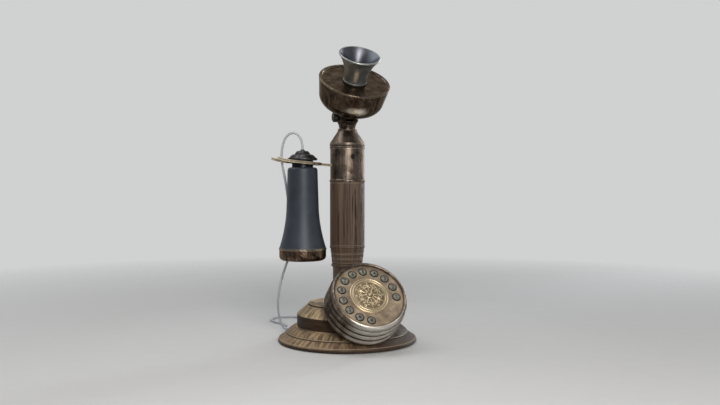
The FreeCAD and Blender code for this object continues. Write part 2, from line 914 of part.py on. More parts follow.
def make_yoke():
    # a turning, milled to two ears with a slot for the lug
    turning = turned(
        "yoke_turning",
        [
            ("0", "yoke_foot - socket_depth"),
            ("socket_radius - fit", "yoke_foot - socket_depth"),
            ("socket_radius - fit", "yoke_foot"),
            ("yoke_foot_radius", "yoke_foot"),
            ("yoke_foot_radius", "yoke_foot + yoke_base / 4", "-yoke_hollow"),
            ("yoke_radius", "pivot_z - ear_radius / 2"),
            ("yoke_radius", "pivot_z + ear_radius"),
            ("0", "pivot_z + ear_radius"),
        ],
    )
    ears = extruded(
        "yoke_side",
        "YZ_Plane",
        [
            ("-yoke_radius", "yoke_foot - socket_depth"),
            ("yoke_radius", "yoke_foot - socket_depth"),
            ("yoke_radius", "yoke_foot + yoke_base"),
            ("ear_radius", "yoke_foot + yoke_base"),
            ("ear_radius", "pivot_z", "ear_radius"),
            ("0", "pivot_z + ear_radius", "ear_radius"),
            ("-ear_radius", "pivot_z"),
            ("-ear_radius", "yoke_foot + yoke_base"),
            ("-yoke_radius", "yoke_foot + yoke_base"),
        ],
        "2 * yoke_radius",
    )
    # the slot follows the lug: round under its foot, and as steep in front as the lug can lean there
    reach = "(lug_radius + running_gap)"
    steep = "((90 - transmitter_lean - lug_swing) * 1 deg)"
    foot = f"pivot_z - {reach} * cos({steep})"
    slot = extruded(
        "lug_slot",
        "YZ_Plane",
        [
            ("-yoke_radius", f"{foot} + (yoke_radius - {reach} * sin({steep})) * tan({steep})"),
            (f"-{reach} * sin({steep})", foot, reach),
            (reach, "pivot_z"),
            ("yoke_radius", "pivot_z"),
            ("yoke_radius", "pivot_z + 2 * ear_radius"),
            ("-yoke_radius", "pivot_z + 2 * ear_radius"),
        ],
        "2 * (lug_half + running_gap)",
    )
    bore = rod("yoke_bore", "tilt_screw_radius + fit", "2 * yoke_radius", x="-yoke_radius", z="pivot_z",
               axis=(0, 1, 0), angle="90")
    node("yoke", cut("yoke", common("yoke_blank", turning, ears), slot, bore))

    screw = turned(
        "tilt_screw",
        [
            ("0", "-yoke_radius"),
            ("tilt_screw_radius", "-yoke_radius"),
            ("tilt_screw_radius", "yoke_radius + running_gap"),
            ("thumb_radius", "yoke_radius + running_gap"),
            ("thumb_radius", "yoke_radius + running_gap + 0.8 * thumb_thick"),
            ("0.8 * thumb_radius", "yoke_radius + running_gap + thumb_thick"),
            ("0", "yoke_radius + running_gap + thumb_thick"),
        ],
    )
    notch = drilled(screw, "thumb_notch", "thumb_notch", "thumb_thick", x="thumb_radius",
                    z="yoke_radius + running_gap")
    around(screw, "thumb_notches", [notch], "360", int(number("thumb_notches")))
    node("tilt_screw", place(screw, z="pivot_z", axis=(0, 1, 0), angle="-90"))


def make_transmitter():
    lug = extruded(
        "tilt_lug",
        "YZ_Plane",
        [
            ("-lug_radius", "0", "lug_radius"),
            ("0", "-lug_radius", "lug_radius"),
            ("lug_radius", "0"),
            ("lug_radius", "cup_foot"),
            ("-lug_radius", "cup_foot"),
        ],
        "2 * lug_half",
    )
    bossed(lug, "lug_flange", "lug_flange_radius", "lug_flange", z="lug_rise")
    drilled(lug, "lug_bore", "tilt_screw_radius + fit", "2 * lug_half",
            x="-lug_half", axis=(0, 1, 0), angle="90")
    node("tilt_lug", at_pivot(lug))

    cup = turned(
        "transmitter_cup",
        [
            ("0", "cup_foot"),
            ("cup_foot_radius", "cup_foot", "cup_belly"),
            ("cup_belly_radius", "cup_foot + cup_belly_rise"),
            ("cup_radius", "cup_lip"),
            ("cup_radius - cup_wall", "cup_lip"),
            ("cup_radius - cup_wall", "face_seat"),
            ("diaphragm_radius", "face_seat"),
            ("diaphragm_radius", "diaphragm_seat"),
            ("diaphragm_radius - diaphragm_ledge", "diaphragm_seat"),
            ("cup_belly_radius - cup_wall - diaphragm_ledge", "cup_foot + cup_belly_rise", "-cup_belly"),
            ("cup_foot_radius - cup_wall", "cup_foot + cup_floor"),
            ("0", "cup_foot + cup_floor"),
        ],
    )
    node("transmitter_cup", at_pivot(cup))

    capsule = turned(
        "transmitter_capsule",
        [
            ("0", "cup_foot + cup_floor"),
            ("capsule_radius", "cup_foot + cup_floor"),
            ("capsule_radius", "cup_foot + cup_floor + 0.6 * capsule_height"),
            ("0.6 * capsule_radius", "cup_foot + cup_floor + 0.6 * capsule_height"),
            ("0.6 * capsule_radius", "cup_foot + cup_floor + capsule_height"),
            ("0", "cup_foot + cup_floor + capsule_height"),
        ],
    )
    node("transmitter_capsule", at_pivot(capsule))

    diaphragm = [
        ("0", "diaphragm_seat"),
        ("diaphragm_radius - fit", "diaphragm_seat"),
        ("diaphragm_radius - fit", "diaphragm_seat + diaphragm_thick"),
        ("0", "diaphragm_seat + diaphragm_thick"),
    ]
    node("transmitter_diaphragm", at_pivot(turned("transmitter_diaphragm", diaphragm)))

    face = [
        ("mouth_spigot + fit", "face_seat"),
        ("face_radius", "face_seat"),
        ("face_radius", "cup_lip"),
        ("mouth_spigot + fit", "cup_lip"),
    ]
    node("transmitter_face", at_pivot(turned("transmitter_face", face)))

    rim = [
        ("face_radius - rim_overlap", "cup_lip"),
        ("cup_radius", "cup_lip", "rim_swell"),
        ("cup_radius - rim_overlap / 2", "cup_lip + rim_thick"),
        ("face_radius", "cup_lip + rim_thick"),
    ]
    node("transmitter_rim", at_pivot(turned("transmitter_rim", rim)))

    mouthpiece = turned(
        "mouthpiece",
        [
            ("mouth_throat", "cup_lip - mouth_spigot_length"),
            ("mouth_spigot", "cup_lip - mouth_spigot_length"),
            ("mouth_spigot", "cup_lip"),
            ("mouth_flange_radius", "cup_lip"),
            ("mouth_flange_radius", "cup_lip + mouth_flange"),
            ("mouth_waist", "cup_lip + mouth_flange + (mouth_flange_radius - mouth_waist)"),
            ("mouth_waist", "cup_lip + mouth_waist_rise", "-mouth_flare"),
            ("mouth_radius - mouth_lip / 4", "mouth_top - mouth_lip", "0.6 * mouth_lip"),
            ("mouth_radius - mouth_lip / 4", "mouth_top"),
            ("mouth_radius - mouth_wall", "mouth_top", "mouth_flare"),
            ("mouth_throat", "cup_lip + mouth_waist_rise"),
        ],
    )
    node("mouthpiece", at_pivot(mouthpiece))


def hook_side(name, half):
    """The fork's side view: a straight bar, curled up at the tips of the prongs."""
    tip_rise = "tip_round - sqrt(tip_round ^ 2 - (prong_reach - tip_start) ^ 2)"
    return extruded(
        name,
        "XZ_Plane",
        [
            ("-prong_reach", f"{tip_rise} - {half}", "tip_round"),
            ("-tip_start", f"-({half})"),
            ("hook_tail", f"-({half})"),
            ("hook_tail", half),
            ("-tip_start", half, "-tip_round"),
            ("-prong_reach", f"{tip_rise} + {half}"),
        ],
        "4 * fork_outer",
    )


def hook_plan(name, inset):
    """The fork's plan: a shank that opens to two prongs, all drawn in by an inset."""
    shank = f"(shank_width / 2 - {inset})"
    outer = f"(fork_outer - {inset})"
    inner = f"(fork_inner + {inset})"
    root = f"sqrt({outer} ^ 2 - {shank} ^ 2) - fork_centre"
    return extruded(
        name,
        "XY_Plane",
        [
            ("hook_tail", f"-{shank}"),
            ("hook_tail", shank),
            (root, shank, outer),
            ("-fork_centre", outer),
            ("-prong_reach", outer),
            ("-prong_reach", inner),
            ("-fork_centre", inner, f"-{inner}"),
            (f"{inner} - fork_centre", "0", f"-{inner}"),
            ("-fork_centre", f"-{inner}"),
            ("-prong_reach", f"-{inner}"),
            ("-prong_reach", f"-{outer}"),
            ("-fork_centre", f"-{outer}", outer),
            (root, f"-{shank}"),
        ],
        "2 * tip_start",
    )


def make_hook():
    # what the side view and the plan share, with a groove along the middle of each bar's sides
    plan = hook_plan("hook_plan", "0")
    bars = common("hook_bars", hook_side("hook_side", "hook_half"), plan)
    edges = cut("groove_plan", plan, hook_plan("web_plan", "bar_groove"))
    groove = common("hook_groove", hook_side("web_side", "(hook_half - bar_flange)"), edges)
    boss = rod("hook_hub", "hook_boss", "hook_boss_width",
               y="hook_boss_width / 2", axis=(1, 0, 0), angle="90")
    hole = rod("hook_bore", "pin_radius + fit", "hook_boss_width",
               y="hook_boss_width / 2", axis=(1, 0, 0), angle="90")
    hook = cut("hook_lever", fused("hook_blank", cut("hook_web", bars, groove), boss), hole)
    node("hook_lever", place(hook, z="hook_height", axis=(0, 1, 0), angle="hook_lean"))

    pin_length = "2 * (cheek_inner + bracket_thick)"
    pin = rod("hook_pin", "pin_radius", pin_length, y="cheek_inner + bracket_thick", z="hook_height",
              axis=(1, 0, 0), angle="90")
    node("hook_pin", pin)


def make_switch():
    half = "(cheek_inner + bracket_thick)"
    strip = box("bracket_strip", "bracket_length", f"2 * {half}", "bracket_thick", "-bracket_length / 2",
                f"-{half}", "tenon_top")
    cheeks = extruded(
        "bracket_cheeks",
        "XZ_Plane",
        [
            ("-cheek_radius", "tenon_top"),
            ("cheek_radius", "tenon_top"),
            ("cheek_radius", "hook_height", "cheek_radius"),
            ("0", "hook_height + cheek_radius", "cheek_radius"),
            ("-cheek_radius", "hook_height"),
        ],
        f"2 * {half}",
    )
    gap = box("cheek_slot", "4 * cheek_radius", "2 * cheek_inner", "2 * (hook_height - tenon_top)",
              "-2 * cheek_radius", "-cheek_inner", "bracket_top")
    bore = rod("cheek_bore", "pin_radius + fit", f"2 * {half}",
               y=half, z="hook_height", axis=(1, 0, 0), angle="90")
    node("switch_bracket", cut("switch_bracket", fused("bracket_blank", strip, cheeks), gap, bore))

    block = box("contact_blank", "contact_length", "contact_width", "contact_height", "contact_away",
                "-contact_width / 2", "bracket_top")
    blades, slots = [], []
    for level in range(2):
        height = f"blade_z + {level} * blade_pitch"
        inner = "contact_away + 0.8 * contact_length"
        blades.append(box(f"blade_{level}", "blade_length", "blade_width", "blade_thick",
                          f"{inner} - blade_length", "-blade_width / 2", height))
        slots.append(box(f"blade_slot_{level}", "blade_length + fit", "blade_width + 2 * fit",
                         "blade_thick + 2 * fit", f"{inner} - blade_length", "-blade_width / 2 - fit",
                         f"{height} - fit"))
    node("contact_block", cut("contact_block", block, *slots))
    node("contact_blades", grouped("contact_blades", blades))


def make_receiver():
    shell = turned(
        "receiver_shell",
        [
            ("shell_spigot_radius - shell_wall", "spigot_end"),
            ("shell_spigot_radius", "spigot_end"),
            ("shell_spigot_radius", "shell_mouth"),
            ("shell_mouth_radius", "shell_mouth", "-shell_flare"),
            ("shell_waist_radius", "shell_mouth + shell_waist_drop"),
            ("shell_top_radius", "receiver_top - shell_round", "shell_round"),
            ("shell_top_radius - shell_round", "receiver_top"),
            ("neck_stud + fit", "receiver_top"),
            ("neck_stud + fit", "receiver_top - 2 * shell_wall"),
            ("shell_top_radius - shell_round", "receiver_top - 2 * shell_wall"),
            ("shell_waist_radius - shell_wall", "shell_mouth + shell_waist_drop"),
            ("magnet_radius - shell_wall", "magnet_z + magnet_thick"),
            ("magnet_radius", "magnet_z + magnet_thick"),
        ],
    )
    node("receiver_shell", at_receiver(shell))

    band = [
        ("shell_spigot_radius + fit", "ear_top"),
        ("receiver_band_radius", "ear_top"),
        ("receiver_band_radius", "shell_mouth"),
        ("shell_spigot_radius + fit", "shell_mouth"),
    ]
    node("receiver_band", at_receiver(turned("receiver_band", band)))

    ear_cap = turned(
        "ear_cap",
        [
            ("ear_hole", "ear_bottom + ear_cap_dish"),
            ("ear_cap_radius - ear_cap_round", "ear_bottom", "ear_cap_round"),
            ("ear_cap_radius", "ear_bottom + ear_cap_round"),
            ("ear_cap_radius", "ear_top"),
            ("shell_spigot_radius + fit", "ear_top"),
            ("shell_spigot_radius + fit", "ear_seat"),
            ("ear_chamber_radius", "ear_seat"),
            ("ear_chamber_radius", "ear_seat - ear_chamber / 2"),
            ("ear_hole", "ear_bottom + ear_cap_dish + ear_wall / 2"),
        ],
    )
    node("ear_cap", at_receiver(ear_cap))

    diaphragm = [
        ("0", "ear_seat"),
        ("shell_spigot_radius", "ear_seat"),
        ("shell_spigot_radius", "spigot_end"),
        ("0", "spigot_end"),
    ]
    node("receiver_diaphragm", at_receiver(turned("receiver_diaphragm", diaphragm)))

    magnet = [
        ("0", "magnet_z"),
        ("magnet_radius - fit", "magnet_z"),
        ("magnet_radius - fit", "magnet_z + magnet_thick"),
        ("0", "magnet_z + magnet_thick"),
    ]
    node("receiver_magnet", at_receiver(turned("receiver_magnet", magnet)))

    coils = []
    for name, side in (("left", "-coil_aside"), ("right", "coil_aside")):
        coils.append(rod(f"coil_{name}", "coil_radius", "coil_height", x=f"{side} - receiver_reach",
                         z="magnet_z - coil_height"))
    node("receiver_coils", grouped("receiver_coils", coils))

    cap = turned(
        "receiver_cap",
        [
            ("cap_bush_radius - 1", "receiver_top - 2 * shell_wall"),
            ("neck_stud", "receiver_top - 2 * shell_wall"),
            ("neck_stud", "receiver_top"),
            ("neck_radius", "receiver_top"),
            ("neck_radius", "cap_foot"),
            ("cap_radius - cap_rim / 4", "cap_foot", "0.62 * cap_rim"),
            ("cap_radius - cap_rim / 4", "cap_step"),
            ("cap_radius - cap_step_run", "cap_step", "2 * cap_dome_rise"),
            ("cap_dome_radius", "cap_dome"),
            ("cap_dome_radius - cap_step_run", "cap_dome", "2 * cap_knob_rise"),
            ("cap_knob_radius", "cap_top"),
            ("cap_bush_radius - 1", "cap_top"),
        ],
    )
    node("receiver_cap", at_receiver(cap))

    stop = turned(
        "receiver_bush",
        [
            ("cord_radius + fit", "cap_top - cap_knob_rise"),
            ("cap_bush_radius - 1 - fit", "cap_top - cap_knob_rise"),
            ("cap_bush_radius - 1 - fit", "cap_top"),
            ("cap_bush_radius", "cap_top"),
            ("cord_radius + 3 * fit", "cap_top + cap_bush_rise"),
            ("cord_radius + fit", "cap_top + cap_bush_rise"),
        ],
    )
    node("receiver_bush", at_receiver(stop))


def make_dial():
    ribs = []
    for rib in range(3):
        reach = f"drum_radius - {rib} * drum_step"
        foot = f"{rib} * rib_pitch"
        ribs += [
            (f"{reach} - drum_step", foot, "rib_round"),
            (f"{reach} - drum_step", f"{foot} + rib_pitch - rib_groove"),
            (f"{reach} - drum_step - rib_groove_depth", f"{foot} + rib_pitch - rib_groove"),
            (f"{reach} - drum_step - rib_groove_depth", f"{foot} + rib_pitch"),
        ]
    housing = turned(
        "dial_housing",
        [("0", "0")]
        + ribs
        + [
            ("drum_spigot_radius", "drum_front"),
            ("drum_spigot_radius", "face_back"),
            ("board_bore", "face_back"),
            ("board_bore", "key_board_z"),
            ("drum_bore", "key_board_z"),
            ("drum_bore", "drum_back"),
            ("0", "drum_back"),
        ],
    )
    for name, side in (("left", "-dial_screw_aside"), ("right", "dial_screw_aside")):
        bossed(housing, f"dial_boss_{name}", "dial_boss_radius", "drum_back + dial_boss", x=side,
               y="-dial_screw_drop")
        drilled(housing, f"dial_boss_hole_{name}", "dial_screw_radius + fit", "drum_back + dial_boss / 2",
                x=side, y="-dial_screw_drop")
    node("dial_housing", at_dial(housing))

    screws = []
    for name, side in (("left", "-dial_screw_aside"), ("right", "dial_screw_aside")):
        screw = headed(f"dial_screw_{name}", "dial_screw_head", "dial_screw_head_height", "dial_screw_radius",
                       "dial_screw_grip + drum_back + dial_boss / 2 - fit")
        screws.append(at_seat(screw, side, "dial_screw_grip"))
    node("dial_screws", grouped("dial_screws", screws))

    bezel = turned(
        "dial_bezel",
        [
            ("drum_spigot_radius + fit", "drum_front"),
            ("bezel_radius - bezel_lip / 4", "drum_front", "2 * bezel_height"),
            ("bezel_radius - bezel_lip / 4", "drum_front + bezel_height - bezel_lip", "bezel_lip"),
            ("bezel_radius - bezel_lip", "drum_front + bezel_height", "bezel_lip"),
            ("drum_spigot_radius - bezel_lip_run", "face_front + bezel_lip / 2"),
            ("drum_spigot_radius - bezel_lip_run", "face_front"),
            ("drum_spigot_radius + fit", "face_front"),
        ],
    )
    node("dial_bezel", at_dial(bezel))

    face = turned(
        "dial_face",
        [
            ("0", "face_back"),
            ("drum_spigot_radius", "face_back"),
            ("drum_spigot_radius", "face_front"),
            ("0", "face_front"),
        ],
    )
    first = "key_first * 1 deg"
    key_hole = drilled(face, "key_hole", "key_radius + running_gap", "dial_face_thick",
                       x=f"key_circle * cos({first})", y=f"key_circle * sin({first})", z="face_back")
    key_well = face.newObject("PartDesign::SubtractiveCone", "key_well")
    bind(key_well, Radius1="key_radius + running_gap", Radius2="key_well_radius", Height="key_well")
    place(key_well, f"key_circle * cos({first})", f"key_circle * sin({first})", "face_front - key_well")
    around(face, "key_holes", [key_hole, key_well], f"key_pitch * {len(KEYS) - 1}", len(KEYS))
    node("dial_face", at_dial(face))

    bead = "face_front + medallion_thick"
    second = "medallion_radius - medallion_bead - medallion_gap"
    field = f"{second} - medallion_bead - medallion_gap"
    medallion = turned(
        "dial_medallion",
        [
            ("0", "face_front"),
            ("medallion_radius", "face_front"),
            ("medallion_radius", bead, "medallion_bead_round"),
            ("medallion_radius - medallion_bead", bead),
            (second, bead, "medallion_bead_round"),
            (f"{second} - medallion_bead", bead),
            (field, bead, "medallion_crown"),
            ("0", f"{bead} + medallion_crown - sqrt(medallion_crown ^ 2 - ({field}) ^ 2)"),
        ],
    )
    node("dial_medallion", at_dial(medallion))

    board = [
        ("0", "key_board_z"),
        ("board_bore - plate_gap", "key_board_z"),
        ("board_bore - plate_gap", "key_board_z + key_board_thick"),
        ("0", "key_board_z + key_board_thick"),
    ]
    node("key_board", at_dial(turned("key_board", board)))
    mat = [
        ("0", "key_board_z + key_board_thick"),
        ("board_bore - 2 * plate_gap", "key_board_z + key_board_thick"),
        ("board_bore - 2 * plate_gap", "key_board_z + key_board_thick + key_mat_thick"),
        ("0", "key_board_z + key_board_thick + key_mat_thick"),
    ]
    node("key_mat", at_dial(turned("key_mat", mat)))

    for index, key in enumerate(KEYS):
        turn = f"(key_first + {index} * key_pitch) * 1 deg"
        cap = turned(
            f"key_{key}",
            [
                ("0", "key_foot"),
                ("key_flange", "key_foot"),
                ("key_flange", "key_foot + key_flange_thick"),
                ("key_radius", "key_foot + key_flange_thick"),
                ("key_radius", "key_top", "key_crown"),
                ("0", "key_top + key_crown - sqrt(key_crown ^ 2 - key_radius ^ 2)"),
            ],
        )
        node(f"key_{key}", at_dial(cap, f"key_circle * cos({turn})", f"key_circle * sin({turn})"))


def make_cord():
    """A round tube along straight runs joined by tangent arcs, each as large as its two runs allow."""
    points = [Vector(*point) for point in CORD_ROUTE]
    edges = []
    radii = []
    length = 0
    last = points[0]
    for before, corner, after in zip(points, points[1:], points[2:]):
        back = before - corner
        ahead = after - corner
        reach = 0.45 * min(back.Length, ahead.Length)
        back.normalize()
        ahead.normalize()
        turn = math.pi - back.getAngle(ahead)
        radius = reach / math.tan(turn / 2)
        radii.append(radius)
        start = corner + back * reach
        end = corner + ahead * reach
        inward = (back + ahead).normalize()
        middle = corner + inward * (radius / math.cos(turn / 2) - radius)
        edges.append(Part.LineSegment(last, start).toShape())
        edges.append(Part.Arc(start, middle, end).toShape())
        last = end
    edges.append(Part.LineSegment(last, points[-1]).toShape())
    path = Part.Wire(edges)
    thick = number("cord_radius")
    ring = Part.Wire([Part.Circle(points[0], points[1] - points[0], thick).toShape()])
    tube = path.makePipeShell([ring], True, False)
    cord = doc.addObject("Part::Feature", "receiver_cord")
    cord.Shape = tube
    cord.Placement = FreeCAD.Placement()
    node("receiver_cord", cord)
    expected = math.pi * thick**2 * path.Length
    print(f"cord length {path.Length:.1f} volume {tube.Volume:.1f} of {expected:.1f}")
    print("cord radii", " ".join(f"{radius:.1f}" for radius in radii))


def check():
    """Stops on any object that failed, and on any sub-part without a whole shape."""
    failed = [thing.Label for thing in doc.Objects if {"Invalid", "Error"} & set(thing.State)]
    empty = [thing.Label for thing in nodes if thing.Shape.isNull() or not thing.Shape.isValid()]
    hollow = [thing.Label for thing in nodes if not thing.Shape.Solids]
    if failed or empty or hollow:
        raise RuntimeError(f"failed {failed}, invalid {empty}, no solid {hollow}")


make_base()
make_electrics()
make_dome()
make_bushes()
make_column()
make_head()
make_yoke()
make_transmitter()
make_hook()
make_switch()
make_receiver()
make_dial()
make_cord()
doc.recompute()
check()

os.makedirs("parts", exist_ok=True)
for thing in nodes:
    thing.Shape.exportStep(f"parts/{thing.Label}.step")
print(len(nodes), "parts")
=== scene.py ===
import math

import bpy
from mathutils import Matrix, Vector


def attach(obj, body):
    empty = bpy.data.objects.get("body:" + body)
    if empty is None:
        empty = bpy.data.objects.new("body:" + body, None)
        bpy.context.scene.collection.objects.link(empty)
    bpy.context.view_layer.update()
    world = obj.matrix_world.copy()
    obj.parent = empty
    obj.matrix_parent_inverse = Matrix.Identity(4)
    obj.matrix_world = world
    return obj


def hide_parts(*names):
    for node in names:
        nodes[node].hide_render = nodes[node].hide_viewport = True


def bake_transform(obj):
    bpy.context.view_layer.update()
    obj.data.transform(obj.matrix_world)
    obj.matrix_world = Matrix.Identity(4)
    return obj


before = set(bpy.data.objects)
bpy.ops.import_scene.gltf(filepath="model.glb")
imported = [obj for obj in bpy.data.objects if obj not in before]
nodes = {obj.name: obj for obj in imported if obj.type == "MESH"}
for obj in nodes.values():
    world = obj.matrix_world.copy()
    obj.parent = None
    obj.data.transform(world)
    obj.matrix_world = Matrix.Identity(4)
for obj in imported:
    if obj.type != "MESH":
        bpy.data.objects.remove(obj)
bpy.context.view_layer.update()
MM = 0.001

# Axes of the parts that are turned on their own, and heights and radii on them, as the CAD has them
PIVOT = (0, 0, 226.2 * MM)
TRANSMITTER_LEAN = math.radians(33)
HORN_FOOT = 40.2 * MM
CUP_BELLY = 23.2 * MM
RECEIVER = (-46.9 * MM, 0, 0)
CAP_NECK_TOP = 182 * MM
LOWER_TIER = 50.9 * MM
DIAL = (0, -42.7 * MM, 36 * MM)
DIAL_LEAN = math.radians(50)

# The dial's parts, measured about its axis and along it
KEYS = ["1", "2", "3", "4", "5", "6", "7", "8", "9", "0", "star", "hash"]
KEY_SIGNS = {"star": "*", "hash": "#"}
KEY_CIRCLE = 27 * MM
KEY_FIRST = math.radians(-6.3)
KEY_PITCH = math.radians(24.3)
KEY_EDGE = 27.9 * MM
KEY_CROWN = 28.45 * MM
SIGN_HEIGHT = 5.0 * MM
STAR_HEIGHT = 7.4 * MM
FACE_RIM = 34.5 * MM
MEDALLION_RIM = 15.2 * MM
FIELD_CROWN = 29.69 * MM
FIELD_CURVE = 90 * MM

# The cord's route, from the receiver's top round to the base's rear, in millimetres
CORD_ROUTE = [
    (-46.9, 0, 193.2),
    (-46.9, 0, 201.2),
    (-50.2, 3.4, 208.2),
    (-54.3, 7.6, 210.4),
    (-58.4, 11.8, 208.6),
    (-61.5, 15.1, 203.3),
    (-63.4, 17.1, 194.7),
    (-64.0, 17.6, 182.7),
    (-59.5, 17.0, 160),
    (-55.5, 20.0, 136),
    (-52.5, 24.5, 112),
    (-52.0, 28.5, 88),
    (-59.0, 35.0, 64),
    (-62.1, 42.5, 40),
    (-55.8, 61.5, 18),
    (-49.0, 71.0, 3.5),
    (-41.0, 79.0, 1.4),
    (-36.5, 94.0, 1.3),
    (-39.0, 113.5, 1.3),
    (-45.5, 131.0, 1.3),
    (-44.0, 147.0, 1.3),
    (-33.0, 156.5, 1.3),
    (-17.0, 155.5, 1.3),
    (-4.0, 144.0, 1.3),
    (1.5, 126.0, 1.3),
    (3.0, 109.0, 1.3),
    (2.6, 96.0, 1.5),
    (1.8, 84.0, 5),
    (0.9, 75.5, 11.5),
    (0.3, 68.5, 18.4),
    (0, 60.5, 22),
    (0, 52.5, 22),
]
CORD_RADIUS = 1.25 * MM
CORD_STRANDS = 5
CORD_LAY = 6 * MM
CORD_ASIDE = Vector((0.31, 0.87, 0.2))  # a direction that no stretch of the cord runs along


class Wire:
    """A shader value that takes part in Python sums and products."""

    def __init__(self, finish, socket):
        self.finish = finish
        self.socket = socket

    def math(self, operation, *values):
        return self.finish.node("Math", dict(enumerate(values)), operation=operation)

    def __add__(self, other):
        return self.math("ADD", self, other)

    __radd__ = __add__

    def __sub__(self, other):
        return self.math("SUBTRACT", self, other)

    def __rsub__(self, other):
        return self.math("SUBTRACT", other, self)

    def __mul__(self, other):
        return self.math("MULTIPLY", self, other)

    def __truediv__(self, other):
        return self.math("DIVIDE", self, other)

    def __pow__(self, other):
        return self.math("POWER", self, other)

    def largest(self, other):
        return self.math("MAXIMUM", self, other)

    def size(self):
        return self.math("ABSOLUTE", self)

    def sine(self):
        return self.math("SINE", self)

    def rise(self, low, high):
        """From 0 at low to 1 at high."""
        return self.finish.node("MapRange", {"Value": self, 1: low, 2: high, 3: 0.0, 4: 1.0})


class Nodes:
    """A node tree that is filled node by node."""

    def __init__(self, tree):
        self.tree = tree
        self.tree.nodes.clear()

    def node(self, kind, sockets=None, out=0, **settings):
        made = self.tree.nodes.new("ShaderNode" + kind)
        for key, value in settings.items():
            setattr(made, key, value)
        for key, value in (sockets or {}).items():
            self.feed(made.inputs[key], value)
        return Wire(self, made.outputs[out]) if made.outputs else made

    def feed(self, socket, value):
        if isinstance(value, Wire):
            self.tree.links.new(value.socket, socket)
        elif socket.type == "RGBA" and len(value) == 3:
            socket.default_value = (*value, 1)
        else:
            socket.default_value = value

    def noise(self, vector, scale, detail=3.0, roughness=0.55):
        sockets = {"Vector": vector, "Scale": scale, "Detail": detail, "Roughness": roughness}
        return self.node("TexNoise", sockets)

    def mix(self, factor, low, high):
        return self.node("Mix", {0: factor, 6: low, 7: high}, out=2, data_type="RGBA")

    def split(self, vector):
        return [self.node("SeparateXYZ", {0: vector}, out=index) for index in range(3)]

    def joined(self, x, y, z):
        return self.node("CombineXYZ", {0: x, 1: y, 2: z})


class Finish(Nodes):
    """A procedural material about one part's own axis."""

    def __init__(self, name, origin=(0, 0, 0), lean=0):
        self.material = bpy.data.materials.new(name)
        self.material.use_nodes = True
        super().__init__(self.material.node_tree)
        self.shader = self.tree.nodes.new("ShaderNodeBsdfPrincipled")
        self.node("OutputMaterial", {0: Wire(self, self.shader.outputs[0])})
        spot = self.node("TexCoord", out="Object")
        placed = {"Vector": spot, "Location": origin, "Rotation": (lean, 0, 0)}
        self.spot = self.node("Mapping", placed, vector_type="TEXTURE")
        self.x, self.y, self.height = self.split(self.spot)
        self.radius = (self.x * self.x + self.y * self.y) ** 0.5 + 1e-5
        self.side = self.x / self.radius
        self.depth = self.y / self.radius
        self.lean = lean

    def set(self, **sockets):
        """Feeds the shader: base_color stands for the socket Base Color."""
        for name, value in sockets.items():
            self.feed(self.shader.inputs[name.replace("_", " ").title().replace("Ior", "IOR")], value)

    def bump(self, height, distance, strength=0.7):
        self.set(normal=self.node("Bump", {"Height": height, "Distance": distance, "Strength": strength}))

    def upward(self):
        """How far the surface faces up."""
        normal = self.node("NewGeometry", out="Normal")
        return self.node("SeparateXYZ", {0: normal}, out=2)

    def outward(self):
        """How far the surface faces away from the part's axis, below 0 inside a bore."""
        normal = self.node("NewGeometry", out="Normal")
        turned = {"vector_type": "NORMAL", "convert_from": "WORLD", "convert_to": "OBJECT"}
        normal = self.node("VectorTransform", {0: normal}, **turned)
        leant = {"Vector": normal, "Rotation": (self.lean, 0, 0)}
        normal = self.node("Mapping", leant, vector_type="TEXTURE")
        x, y, _ = self.split(normal)
        return x * self.side + y * self.depth

    def hollow(self, reach):
        """1 deep in grooves and corners, 0 on open faces."""
        return 1 - self.node("AmbientOcclusion", {"Distance": reach}, out="AO", samples=6, only_local=True)

    def edge(self, reach):
        """1 along sharp outer edges, 0 on broad faces."""
        within = {"samples": 6, "only_local": True, "inside": True}
        return (1 - self.node("AmbientOcclusion", {"Distance": reach}, out="AO", **within)).rise(0.12, 0.45)


def column_wood():
    """Dark turned wood: streaks and long cracks run up the shaft, the beads are rubbed pale, and its
    grooves carry painted shade.
    """
    wood = Finish("column_wood")
    streaks = wood.noise(wood.joined(wood.side, wood.depth, wood.height * 1.1), 10.0, 6.0, 0.64)
    pores = wood.noise(wood.joined(wood.side, wood.depth, wood.height * 1.8), 48.0, 3.0, 0.6)
    bands = wood.noise(wood.joined(wood.side, wood.depth, wood.height * 2.0), 2.4, 2.0, 0.5)
    wander = wood.noise(wood.joined(wood.side, wood.depth, wood.height * 1.3 + 4.0), 3.1, 3.0, 0.45)
    breaks = wood.noise(wood.joined(wood.side, wood.depth, wood.height * 12.0), 2.6, 2.0)
    crack = (1 - (wander - 0.5).size().rise(0.004, 0.02)) * breaks.rise(0.42, 0.56)
    tone = streaks.rise(0.32, 0.7)
    colour = wood.mix(tone, (0.020, 0.011, 0.006), (0.125, 0.074, 0.043))
    colour = wood.mix(bands.rise(0.42, 0.66) * 0.55, colour, (0.17, 0.122, 0.085))
    colour = wood.mix(pores.rise(0.55, 0.72) * 0.6, colour, (0.018, 0.010, 0.006))
    colour = wood.mix(crack * 0.92, colour, (0.005, 0.003, 0.002))
    # painted shade: grooves and corners darkened where shade falls
    colour = wood.mix(wood.hollow(2 * MM).rise(0.15, 0.6) * 0.92, colour, (0.006, 0.004, 0.003))
    colour = wood.mix(wood.edge(0.9 * MM) * 0.8, colour, (0.42, 0.33, 0.24))
    wood.set(base_color=colour, roughness=0.42 + tone * 0.12 + pores * 0.12 + crack * 0.2)
    wood.set(specular_ior_level=0.34)
    wood.bump(tone * 0.5 + pores * 0.4 - crack * 1.5, 0.5 * MM)
    return wood.material


